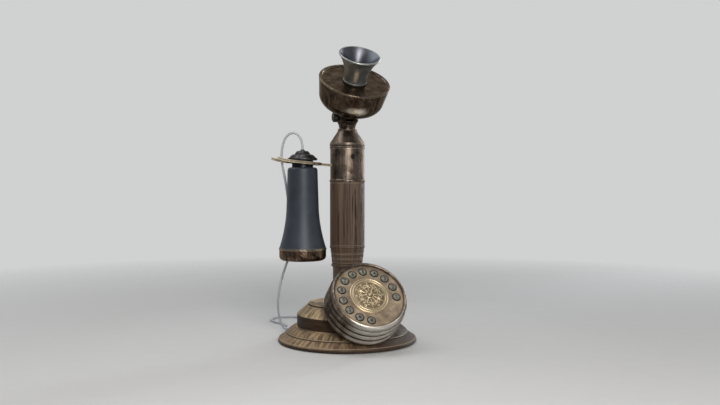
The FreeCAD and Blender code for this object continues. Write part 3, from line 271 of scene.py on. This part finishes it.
def base_wood():
    """The two tiers' wood: rayed grain down the slopes and ringed grain on walls and ledges, with faces
    that look up painted pale and walls painted dark, a painted light from above.
    """
    wood = Finish("base_wood")
    up = wood.upward()
    top = up.rise(0.35, 0.6)
    slope = top * (1 - up.rise(0.93, 0.98))
    rays = wood.noise(wood.joined(wood.side, wood.depth, wood.radius * 4.0), 19.0, 6.0, 0.66)
    along = wood.height * 1.2 - wood.radius
    rings = wood.noise(wood.joined(wood.side * 0.5, wood.depth * 0.5, along * 62.0), 4.6, 5.0, 0.62)
    patches = wood.noise(wood.spot, 26.0, 4.0, 0.6)
    pores = wood.noise(wood.joined(wood.side, wood.depth, wood.radius * 9.0), 70.0, 3.0, 0.6)
    grain = rings + (rays - rings) * slope
    tone = grain.rise(0.37, 0.63)
    lower = wood.radius.rise(LOWER_TIER, LOWER_TIER + 1.6 * MM)
    # painted light: faces that look up are painted paler and the walls darker, as light from above falls
    dark = wood.mix(top, (0.010, 0.005, 0.0025), (0.07, 0.04, 0.021))
    pale = wood.mix(top, (0.055, 0.031, 0.016), wood.mix(lower, (0.64, 0.49, 0.3), (0.38, 0.275, 0.165)))
    colour = wood.mix(tone, dark, pale)
    colour = wood.mix(patches.rise(0.5, 0.7) * 0.6, colour, dark)
    # the right-hand side of the lower tier is painted darker: partly darker stain, partly painted shade of
    # the dial
    colour = wood.mix(wood.side.rise(-0.8, 0.15) * 0.9 * lower, colour, (0.042, 0.023, 0.015))
    colour = wood.mix(pores.rise(0.58, 0.74) * 0.5, colour, dark)
    # painted shade: grooves and corners darkened where shade falls
    colour = wood.mix(wood.hollow(2.5 * MM).rise(0.2, 0.65) * 0.92, colour, (0.007, 0.005, 0.004))
    colour = wood.mix(wood.edge(1.0 * MM) * 0.6, colour, (0.46, 0.36, 0.25))
    wood.set(base_color=colour, roughness=0.46 + tone * 0.14 + pores * 0.12)
    wood.set(specular_ior_level=0.2)
    wood.bump(tone * 0.7 + pores * 0.35, 0.5 * MM)
    return wood.material


def old_metal(name, dark, warm, bright, rough, origin=(0, 0, 0), lean=0, scratch=1.0, wear=1.0,
              crest=0.8 * MM, colour_patch=None):
    """Tarnished metal: clouds and stains, slanting scratches, painted shade in the corners and bright
    edges.

    crest is how far in from an edge the metal is worn bright. The last argument gives a place of its
    own and that place's colour: painted highlights on the cup, drum and bezel, and paint on the cap's neck.
    """
    metal = Finish(name, origin, lean)
    cloud = metal.noise(metal.spot, 120.0, 5.0, 0.65)
    stain = metal.noise(metal.spot, 42.0, 4.0, 0.62)
    turn = metal.x.math("ARCTAN2", metal.x, 0 - metal.y) * metal.radius
    across = (turn + metal.height) * 1100.0
    along = (turn - metal.height) * 90.0
    hatch = metal.noise(metal.joined(across, along, 0.0), 1.0, 3.0, 0.6).rise(0.53, 0.7) * scratch
    drips = metal.noise(metal.joined(metal.side, metal.depth, metal.height * 4.0), 9.0, 4.0, 0.6)
    colour = metal.mix(cloud.rise(0.34, 0.66), dark, warm)
    colour = metal.mix(drips.rise(0.5, 0.66) * 0.6, colour, dark)
    colour = metal.mix(stain.rise(0.5, 0.74) * 0.7, colour, dark)
    colour = metal.mix((1 - drips).rise(0.55, 0.68) * 0.22, colour, bright)
    colour = metal.mix(hatch * 0.45, colour, bright)
    # the place's own colour: painted highlights on the cup, drum and bezel, and paint on the cap's neck
    if colour_patch:
        place, tint = colour_patch
        colour = metal.mix(place(metal) * (0.6 + cloud.rise(0.25, 0.6) * 0.4), colour, tint)
    # painted shade: corners and grooves darkened nearly to black where shade falls
    hollow = metal.hollow(1.8 * MM).rise(0.2, 0.65)
    colour = metal.mix(hollow * 0.85, colour, (0.012, 0.008, 0.006))
    colour = metal.mix(metal.edge(crest) * 0.8 * wear, colour, bright)
    metal.set(base_color=colour, metallic=0.95 - stain.rise(0.5, 0.8) * 0.2 - hollow * 0.3)
    metal.set(specular_tint=(0.6, 0.56, 0.52))
    metal.set(roughness=rough + (cloud - 0.5) * 0.24 + stain.rise(0.5, 0.8) * 0.12 + hollow * 0.2)
    metal.bump(hatch * 0.5 + cloud * 0.5, 0.1 * MM)
    return metal.material


def pewter():
    """The horn's grey metal: painted dark and bluish inside as painted shade and a painted reflection,
    painted shade at its base, and a rubbed lip.
    """
    metal = Finish("horn_pewter", PIVOT, TRANSMITTER_LEAN)
    cloud = metal.noise(metal.spot, 110.0, 5.0, 0.62)
    rounds = metal.joined(metal.side * 0.3, metal.depth * 0.3, metal.height * 900.0)
    turning = metal.noise(rounds, 1.3, 3.0, 0.6)
    inside = 1 - metal.outward().rise(-0.3, 0.1)
    foot_shade = 1 - metal.height.rise(HORN_FOOT + 1.0 * MM, HORN_FOOT + 4.0 * MM)
    colour = metal.mix(cloud.rise(0.3, 0.7), (0.27, 0.285, 0.27), (0.47, 0.485, 0.465))
    colour = metal.mix(turning.rise(0.55, 0.75) * 0.3, colour, (0.55, 0.555, 0.54))
    # painted shade and a painted bluish reflection inside the horn
    colour = metal.mix(inside * 0.88, colour, (0.085, 0.093, 0.12))
    # painted shade: the horn is darkened near its base on the face
    colour = metal.mix(foot_shade * 0.92, colour, (0.022, 0.02, 0.018))
    colour = metal.mix(metal.edge(0.7 * MM) * 0.4 * (1 - foot_shade), colour, (0.66, 0.64, 0.58))
    metal.set(base_color=colour, metallic=0.92 - foot_shade * 0.3, specular_tint=(0.7, 0.7, 0.72))
    metal.set(roughness=0.3 + cloud * 0.14 + foot_shade * 0.2)
    metal.bump(cloud + turning * 0.4, 0.1 * MM)
    return metal.material


def slate_paint():
    """Dark blue-grey satin paint on the receiver, clouded by handling."""
    slate = Finish("receiver_slate", RECEIVER)
    cloud = slate.noise(slate.spot, 48.0, 4.0, 0.6)
    dust = slate.noise(slate.spot, 1100.0, 2.0, 0.6)
    colour_patch = slate.noise(slate.joined(slate.side, slate.depth, slate.height * 14.0), 3.0, 5.0, 0.66)
    colour = slate.mix(cloud.rise(0.3, 0.7), (0.016, 0.019, 0.026), (0.030, 0.036, 0.049))
    colour = slate.mix(colour_patch.rise(0.6, 0.78) * 0.3, colour, (0.06, 0.066, 0.08))
    colour = slate.mix(slate.edge(0.8 * MM) * 0.35, colour, (0.14, 0.14, 0.14))
    slate.set(base_color=colour, roughness=0.42 + cloud * 0.1 + dust * 0.06 - colour_patch.rise(0.6, 0.78) * 0.06)
    slate.set(specular_ior_level=0.6, specular_tint=(0.84, 0.92, 1))
    slate.bump(dust * 0.5 + cloud, 0.08 * MM)
    return slate.material


def moulded(name, colour, rough, grain=700.0):
    """Plain moulded or pressed stock with a fine grain."""
    stock = Finish(name)
    fine = stock.noise(stock.spot, grain, 2.0)
    broad = stock.noise(stock.spot, 70.0, 3.0)
    lighter = tuple(part * 1.5 + 0.01 for part in colour)
    stock.set(base_color=stock.mix(broad.rise(0.3, 0.8) * 0.6, colour, lighter))
    stock.set(roughness=rough + fine * 0.15)
    stock.bump(fine, 0.06 * MM, 0.5)
    return stock.material


def felt_cloth():
    """Dark green felt under the base."""
    felt = Finish("green_felt")
    fibre = felt.noise(felt.spot, 1400.0, 3.0, 0.7)
    felt.set(base_color=felt.mix(fibre, (0.012, 0.02, 0.014), (0.06, 0.075, 0.055)))
    felt.set(roughness=0.9 + fibre * 0.1)
    felt.bump(fibre, 0.3 * MM, 1.0)
    return felt.material


def key_gloss(name, low, high):
    """Greenish grey glossy keys, painted dark towards their edge as painted shade in the well."""
    key = Finish(name, DIAL, DIAL_LEAN)
    cloud = key.noise(key.spot, 300.0, 4.0, 0.6)
    crown = key.height.rise(KEY_EDGE, KEY_CROWN)
    # painted shade: each key darkens from its crown down to its edge in the well
    colour = key.mix(crown, low, high)
    colour = key.mix(cloud.rise(0.4, 0.75) * 0.4, colour, low)
    key.set(base_color=colour, roughness=0.2 + cloud * 0.18)
    key.set(coat_weight=0.6, coat_roughness=0.12)
    key.bump(cloud, 0.08 * MM, 0.5)
    return key.material


def dial_plate():
    """Tan bronze, brushed in rings, with painted shade round the wells and by the bezel."""
    plate = Finish("dial_tan", DIAL, DIAL_LEAN)
    rounds = plate.joined(plate.side * 0.5, plate.depth * 0.5, plate.radius * 900.0)
    rings = plate.noise(rounds, 1.4, 4.0, 0.7)
    cloud = plate.noise(plate.spot, 120.0, 5.0, 0.66)
    stain = plate.noise(plate.spot, 48.0, 4.0, 0.6)
    # painted shade: dark round the wells and in a band by the bezel
    bezel_shade = plate.radius.rise(FACE_RIM - 2.4 * MM, FACE_RIM - 0.4 * MM)
    painted_shade = bezel_shade.largest(plate.hollow(4 * MM).rise(0.1, 0.5))
    colour = plate.mix(cloud.rise(0.3, 0.7), (0.22, 0.16, 0.108), (0.52, 0.415, 0.295))
    colour = plate.mix(stain.rise(0.46, 0.68) * 0.6, colour, (0.12, 0.088, 0.06))
    colour = plate.mix(rings.rise(0.55, 0.75) * 0.25, colour, (0.6, 0.52, 0.4))
    colour = plate.mix(painted_shade * 0.9, colour, (0.025, 0.018, 0.013))
    # paler along sharp edges: worn edges, and a painted glint on the rims of the wells
    colour = plate.mix(plate.edge(0.7 * MM) * 0.7, colour, (0.75, 0.68, 0.55))
    plate.set(base_color=colour, metallic=0.75 - painted_shade * 0.4, roughness=0.36 + cloud * 0.2 + painted_shade * 0.15)
    plate.bump(rings * 0.35 + cloud * 0.6, 0.14 * MM)
    return plate.material


def gilded(name, low, high, patina):
    """Gold of the medallion, with brown patina left in the low places."""
    gold = Finish(name, DIAL, DIAL_LEAN)
    cloud = gold.noise(gold.spot, 220.0, 5.0, 0.66)
    hollow = gold.hollow(1.2 * MM).rise(0.1, 0.5)
    colour = gold.mix(cloud.rise(0.3, 0.72), low, high)
    rim = gold.radius.rise(MEDALLION_RIM, MEDALLION_RIM + 0.7 * MM)
    colour = gold.mix(rim * 0.8, colour, (0.66, 0.54, 0.36))
    colour = gold.mix(hollow * 0.9, colour, patina)
    colour = gold.mix(gold.edge(0.6 * MM) * 0.75, colour, (0.9, 0.76, 0.52))
    gold.set(base_color=colour, metallic=0.92 - hollow * 0.3, roughness=0.27 + cloud * 0.16 + hollow * 0.2)
    gold.bump(cloud, 0.15 * MM)
    return gold.material


def woven_cord():
    """Pale braided cover: two crossing sets of strands on the tube's own map."""
    cord = Finish("cord_braid")
    turn, along, _ = cord.split(cord.node("UVMap", uv_map="along"))
    rising = ((turn * CORD_STRANDS + along / CORD_LAY) * math.tau).sine()
    falling = ((turn * CORD_STRANDS - along / CORD_LAY) * math.tau).sine()
    weave = rising.largest(falling) * 0.5 + 0.5
    soil = cord.noise(cord.spot, 120.0, 4.0, 0.6)
    colour = cord.mix(weave, (0.26, 0.27, 0.29), (0.56, 0.575, 0.61))
    colour = cord.mix(soil.rise(0.5, 0.8) * 0.3, colour, (0.22, 0.22, 0.22))
    cord.set(base_color=colour, roughness=0.5 + weave * 0.15)
    cord.bump(weave, 0.18 * MM, 0.6)
    return cord.material


def deselect():
    if bpy.context.object and bpy.context.object.mode != "OBJECT":
        bpy.ops.object.mode_set(mode="OBJECT")
    bpy.ops.object.select_all(action="DESELECT")


def pick(*pieces):
    deselect()
    for piece in pieces:
        piece.select_set(True)
    bpy.context.view_layer.objects.active = pieces[0]


def joined_mesh(pieces):
    pick(*pieces)
    bpy.ops.object.join()
    return bpy.context.object


def paint(piece, material):
    piece.data.materials.clear()
    piece.data.materials.append(material)


def settle(piece, matrix):
    """Moves a piece's mesh to its place, so that its object stays at the origin."""
    piece.data.transform(matrix)
    piece.data.update()


def dial_matrix():
    return Matrix.Translation(DIAL) @ Matrix.Rotation(DIAL_LEAN, 4, "X")


def mesh_of(curve):
    """Turns a curve or text object to a mesh in its place."""
    pick(curve)
    bpy.ops.object.convert(target="MESH")
    return bpy.context.object


def nurbs_line(name, points, order, bevel, smooth, steps):
    """A smooth round line through its control points, in metres."""
    data = bpy.data.curves.new(name, "CURVE")
    data.dimensions = "3D"
    data.resolution_u = steps
    data.bevel_depth = bevel
    data.bevel_resolution = smooth
    data.use_fill_caps = bevel > 0
    spline = data.splines.new("NURBS")
    spline.points.add(len(points) - 1)
    for point, place in zip(spline.points, points):
        point.co = (*place, 1)
    spline.order_u = order
    spline.use_endpoint_u = True
    line = bpy.data.objects.new(name, data)
    bpy.context.collection.objects.link(line)
    return line


def make_cord():
    route = [Vector(point) * MM for point in CORD_ROUTE]
    line = nurbs_line("cord_line", route, 3, 0, 0, 12)
    path = [vertex.co.copy() for vertex in bpy.data.meshes.new_from_object(line).vertices]
    bpy.data.objects.remove(line)
    tube = mesh_of(nurbs_line("cord", route, 3, CORD_RADIUS, 4, 12))
    steps = [0.0]
    for before, after in zip(path, path[1:]):
        steps.append(steps[-1] + (after - before).length)
    # a map that runs round the tube and along it, for the braid
    layer = tube.data.uv_layers.new(name="along")
    for polygon in tube.data.polygons:
        first = None
        for loop in polygon.loop_indices:
            spot = tube.data.vertices[tube.data.loops[loop].vertex_index].co
            nearest = min(range(len(path)), key=lambda index: (path[index] - spot).length_squared)
            ahead = path[min(nearest + 1, len(path) - 1)] - path[max(nearest - 1, 0)]
            side = ahead.cross(CORD_ASIDE).normalized()
            up = ahead.cross(side).normalized()
            out = spot - path[nearest]
            turn = math.atan2(out.dot(up), out.dot(side)) / math.tau
            first = turn if first is None else first
            layer.data[loop].uv = (turn + round(first - turn), steps[nearest])
    pick(tube)
    bpy.ops.object.shade_smooth()
    paint(tube, woven_cord())
    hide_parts("receiver_cord")
    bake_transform(tube)


def make_key_signs(finish):
    """Raised signs on the crowns of the keys."""
    for index, key in enumerate(KEYS):
        deselect()
        bpy.ops.object.text_add()
        text = bpy.context.object
        text.data.body = KEY_SIGNS.get(key, key)
        text.data.size = STAR_HEIGHT if key == "star" else SIGN_HEIGHT
        text.data.extrude = 0.18 * MM
        text.data.bevel_depth = 0.06 * MM
        text.data.offset = 0.08 * MM
        sign = mesh_of(text)
        low = Vector(map(min, *[vertex.co for vertex in sign.data.vertices]))
        high = Vector(map(max, *[vertex.co for vertex in sign.data.vertices]))
        settle(sign, Matrix.Translation(-(low + high) / 2))
        turn = KEY_FIRST + index * KEY_PITCH
        spot = Vector((KEY_CIRCLE * math.cos(turn), KEY_CIRCLE * math.sin(turn), KEY_CROWN - 0.04 * MM))
        settle(sign, dial_matrix() @ Matrix.Translation(spot))
        sign.name = f"key_sign_{key}"
        paint(sign, finish)
        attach(sign, f"key_{key}")


def polar(reach, turn):
    """A point of the medallion's plane, in millimetres and radians."""
    return Vector((reach * math.cos(turn), reach * math.sin(turn), 0))


def curl(middle, start, turns, outer, inner, count=14):
    """Points of a spiral about a middle, from its outer to its inner radius."""
    points = []
    for index in range(count):
        share = index / (count - 1)
        reach = outer + (inner - outer) * share
        points.append(middle + polar(reach, start + turns * math.tau * share))
    return points


def tendril(points, radius):
    """A round stroke of the rosette that swells in the middle."""
    line = nurbs_line("tendril", [point * MM for point in points], 4, radius * MM, 2, 5)
    controls = line.data.splines[0].points
    for index, point in enumerate(controls):
        point.radius = 0.6 + 0.5 * math.sin(math.pi * index / (len(controls) - 1))
    return mesh_of(line)


def make_rosette(finish):
    """A six-fold scroll rosette in relief on the medallion's field."""
    scrolls = []
    for side in (1, -1):
        spiral = curl(polar(9.4, side * 0.28), side * -2.4, side * 1.25, 2.65, 0.6)
        scrolls.append(tendril([polar(3.4, 0)] + spiral, 0.62))
    berry = tendril(curl(polar(12.9, 0), 0, 1.0, 0.9, 0.9, 12), 0.5)
    leaf = tendril([polar(reach, math.tau / 12) for reach in (4.6, 6.5, 9, 12, 14.2)], 0.75)
    petals = [joined_mesh([*scrolls, berry, leaf])]
    for turn in range(1, 6):
        pick(petals[0])
        bpy.ops.object.duplicate()
        petals.append(bpy.context.object)
        settle(petals[-1], Matrix.Rotation(turn * math.tau / 6, 4, "Z"))
    middle = Vector((0, 0, 0))
    ring = tendril(curl(middle, 0, 1.0, 3.5, 3.5, 24), 0.6)
    boss = tendril(curl(middle, 0, 1.6, 1.7, 0.3, 24), 0.6)
    rosette = joined_mesh([*petals, ring, boss])
    # the relief follows the crown of the field
    for vertex in rosette.data.vertices:
        reach = math.hypot(vertex.co.x, vertex.co.y)
        vertex.co.z += FIELD_CROWN - reach**2 / (2 * FIELD_CURVE)
    settle(rosette, dial_matrix())
    pick(rosette)
    bpy.ops.object.shade_smooth()
    rosette.name = "medallion_rosette"
    paint(rosette, finish)
    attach(rosette, "stand")


def dress(material, *names):
    for name in names:
        paint(nodes[name], material)


def dress_stand():
    dress(column_wood(), "column")
    dress(base_wood(), "base_skirt", "base_dome")
    dress(felt_cloth(), "base_felt")
    bronze = (0.055, 0.041, 0.032), (0.23, 0.178, 0.142), (0.6, 0.52, 0.45)
    dress(old_metal("head_bronze", *bronze, 0.36), "ferrule", "upper_band", "cone_cap")
    yoke = (0.024, 0.017, 0.013), (0.12, 0.09, 0.066), (0.34, 0.28, 0.21)
    dress(old_metal("yoke_bronze", *yoke, 0.34, wear=0.4), "yoke")
    steel = (0.02, 0.019, 0.018), (0.08, 0.075, 0.07), (0.35, 0.34, 0.32)
    dress(old_metal("screw_steel", *steel, 0.24, wear=0.35), "tilt_screw", "ferrule_screw")
    brass = (0.2, 0.165, 0.11), (0.52, 0.445, 0.32), (0.8, 0.72, 0.56)
    dress(old_metal("fork_brass", *brass, 0.3, scratch=0.3, wear=0.6), "hook_lever", "hook_pin",
          "contact_blades", "receiver_coils")


def cup_highlight_place(cup):
    """Where a painted highlight lies, on the front of the cup's belly."""
    ripple = cup.noise(cup.joined(cup.side, cup.depth, cup.height * 40.0), 7.0, 3.0, 0.6) - 0.5
    across = (cup.side * 0.993 - cup.depth * 0.12) * 3.9 + ripple * 0.9
    along = (cup.height - CUP_BELLY) / (4.0 * MM) + ripple * 1.6
    patch = 1 - (across * across + along * along).rise(0, 2.4)
    return patch * patch * (0 - cup.depth).rise(0, 0.3)


def dress_transmitter():
    about = {"origin": PIVOT, "lean": TRANSMITTER_LEAN}
    cup = (0.014, 0.008, 0.005), (0.088, 0.059, 0.038), (0.45, 0.36, 0.25)
    # painted highlight: a bright warm patch on the front of the cup's belly
    cup_highlight = (cup_highlight_place, (0.95, 0.87, 0.73))
    bowl = old_metal("cup_bronze", *cup, 0.2, **about, scratch=0.5, wear=0.4, colour_patch=cup_highlight)
    dress(bowl, "transmitter_cup", "tilt_lug")
    rim = (0.06, 0.043, 0.03), (0.17, 0.128, 0.09), (0.42, 0.35, 0.27)
    dress(old_metal("rim_bronze", *rim, 0.26, **about, wear=0.4), "transmitter_rim")
    face = (0.04, 0.027, 0.018), (0.135, 0.098, 0.07), (0.34, 0.27, 0.2)
    dress(old_metal("face_bronze", *face, 0.15, **about, scratch=0.35, wear=0.4), "transmitter_face")
    dress(pewter(), "mouthpiece")


def neck(cap):
    """The cap's neck, painted with the shell."""
    return 1 - cap.height.rise(CAP_NECK_TOP, CAP_NECK_TOP + 0.6 * MM)


def dress_receiver():
    dress(slate_paint(), "receiver_shell")
    cap = (0.024, 0.013, 0.009), (0.2, 0.125, 0.08), (0.6, 0.5, 0.38)
    dress(old_metal("ear_bronze", *cap, 0.24, RECEIVER), "ear_cap")
    ring = (0.12, 0.095, 0.066), (0.34, 0.28, 0.2), (0.6, 0.53, 0.42)
    dress(old_metal("ear_ring", *ring, 0.24, RECEIVER, wear=0.5), "receiver_band")
    crown = (0.024, 0.024, 0.025), (0.07, 0.071, 0.074), (0.26, 0.25, 0.24)
    painted = (neck, (0.02, 0.024, 0.031))
    stepped = old_metal("cap_bronze", *crown, 0.36, RECEIVER, scratch=0.3, wear=0.35, colour_patch=painted)
    dress(stepped, "receiver_cap")


def low_front_highlight(drum):
    """Where painted highlights lie, on the low front of the drum and the bezel."""
    return (drum.side * 0.1 - drum.depth * 0.995).rise(0.6, 0.99)


def dress_dial():
    """Dresses the drum, and gives back the gilding and the moulding for what is raised on it."""
    about = {"origin": DIAL, "lean": DIAL_LEAN}
    # painted highlights: the low fronts of the drum and bezel are painted silvery
    drum_highlight = (low_front_highlight, (0.66, 0.62, 0.56))
    bezel_highlight = (low_front_highlight, (0.78, 0.74, 0.68))
    drum = (0.024, 0.016, 0.011), (0.13, 0.098, 0.074), (0.62, 0.56, 0.48)
    # the rib crests are worn bright over a wide band, which also gives a painted highlight along each rib
    ribbed = old_metal("drum_bronze", *drum, 0.15, **about, scratch=0.3, wear=0.55, crest=2.4 * MM,
                       colour_patch=drum_highlight)
    dress(ribbed, "dial_housing")
    bezel = (0.08, 0.06, 0.045), (0.28, 0.23, 0.18), (0.6, 0.54, 0.46)
    rounded = old_metal("bezel_bronze", *bezel, 0.3, **about, scratch=0.3, wear=0.2, colour_patch=bezel_highlight)
    dress(rounded, "dial_bezel")
    dress(dial_plate(), "dial_face")
    field = gilded("medallion_gold", (0.2, 0.15, 0.092), (0.42, 0.33, 0.21), (0.03, 0.02, 0.012))
    dress(field, "dial_medallion")
    keys = key_gloss("key_grey", (0.02, 0.02, 0.017), (0.3, 0.288, 0.236))
    dress(keys, *[f"key_{key}" for key in KEYS])
    relief = gilded("rosette_gold", (0.38, 0.3, 0.19), (0.64, 0.53, 0.36), (0.08, 0.055, 0.03))
    signs = key_gloss("sign_black", (0.006, 0.006, 0.005), (0.018, 0.018, 0.016))
    return relief, signs


def dress_insides():
    dress(moulded("plain_steel", (0.3, 0.3, 0.3), 0.35), "base_plate", "base_screws", "stem_tube",
          "stem_nuts", "switch_bracket", "dial_screws", "transmitter_diaphragm", "receiver_diaphragm")
    dress(moulded("cast_iron", (0.05, 0.05, 0.05), 0.6, 400.0), "ballast_weight", "receiver_magnet")
    dress(moulded("black_moulding", (0.018, 0.017, 0.016), 0.4), "circuit_board", "ringer", "contact_block",
          "transmitter_capsule", "line_bush", "cord_bush", "receiver_bush")
    dress(moulded("board_green", (0.03, 0.1, 0.05), 0.45), "key_board")
    dress(moulded("mat_rubber", (0.12, 0.12, 0.12), 0.7), "key_mat")


def pale_floor():
    """A pale round floor that fades into the backdrop away from the telephone."""
    deselect()
    just_below = (0, 0, -0.2 * MM)
    bpy.ops.mesh.primitive_circle_add(vertices=96, radius=1.6, fill_type="NGON", location=just_below)
    floor = bpy.context.object
    floor.name = "studio_floor"
    paper = Finish("pale_paper")
    fleck = paper.noise(paper.spot, 60.0, 3.0)
    paper.set(base_color=paper.mix(fleck, (0.6, 0.6, 0.595), (0.63, 0.63, 0.625)))
    paper.set(roughness=0.8 + fleck * 0.1)
    paper.set(alpha=1 - paper.radius.rise(0.3, 0.95), specular_ior_level=0)
    paint(floor, paper.material)


def softbox(name, place, aim, size, power, tint=(1, 1, 1), spread=180):
    lamp = bpy.data.lights.new(name, "AREA")
    lamp.shape = "RECTANGLE"
    lamp.size, lamp.size_y = size
    lamp.energy = power
    lamp.color = tint
    lamp.spread = math.radians(spread)
    box = bpy.data.objects.new(name, lamp)
    box.location = place
    box.rotation_euler = (Vector(aim) - Vector(place)).to_track_quat("-Z", "Y").to_euler()
    bpy.context.collection.objects.link(box)


def studio():
    """A room that is pale behind the telephone and dim in front of it, and three soft lamps."""
    bpy.context.scene.view_settings.view_transform = "Standard"
    world = bpy.data.worlds.new("studio")
    world.use_nodes = True
    bpy.context.scene.world = world
    sky = Nodes(world.node_tree)
    right, back, _ = sky.split(sky.node("TexCoord", out="Generated"))
    paleness = (right * 0.5 + back * 0.87).rise(-0.4, 0.6)
    dim = sky.node("Background", {"Color": (0.9, 0.94, 1), "Strength": 0.16})
    mirrored = sky.node("Background", {"Color": (0.99, 0.995, 1), "Strength": 0.14 + paleness * 0.5})
    pale = sky.node("Background", {"Color": (0.99, 0.995, 1), "Strength": 0.64})
    in_metal = sky.node("LightPath", out="Is Glossy Ray")
    through = sky.node("LightPath", out="Is Transmission Ray")
    seen = sky.node("LightPath", out="Is Camera Ray").largest(through)
    room = sky.node("MixShader", {0: in_metal, 1: dim, 2: mirrored})
    sky.node("OutputWorld", {0: sky.node("MixShader", {0: seen, 1: room, 2: pale})})
    softbox("key_light", (-0.15, -1.05, 0.55), (0, 0, 0.14), (0.34, 0.7), 9.0, (1, 0.96, 0.9))
    softbox("rim_light", (0.95, 0.5, 0.45), (0, 0, 0.2), (0.16, 0.8), 0.55, (0.86, 0.93, 1), 50)
    softbox("top_light", (-0.35, 0.1, 1.3), (0, 0, 0.1), (1.2, 1.2), 9.0)


def camera():
    """The photograph's view, from the front left and well above the dial."""
    data = bpy.data.cameras.new("photo_view")
    data.sensor_width = 36
    data.lens = 42.5
    eye = bpy.data.objects.new("photo_view", data)
    eye.location = (-0.280, -0.813, 0.165)
    aim = Vector((0.01215, -0.00418, 0.1402))
    eye.rotation_euler = (aim - eye.location).to_track_quat("-Z", "Y").to_euler()
    bpy.context.collection.objects.link(eye)
    bpy.context.scene.camera = eye


camera()
make_cord()
dress_stand()
dress_transmitter()
dress_receiver()
dress_insides()
relief_finish, sign_finish = dress_dial()
make_key_signs(sign_finish)
make_rosette(relief_finish)
pale_floor()
studio()
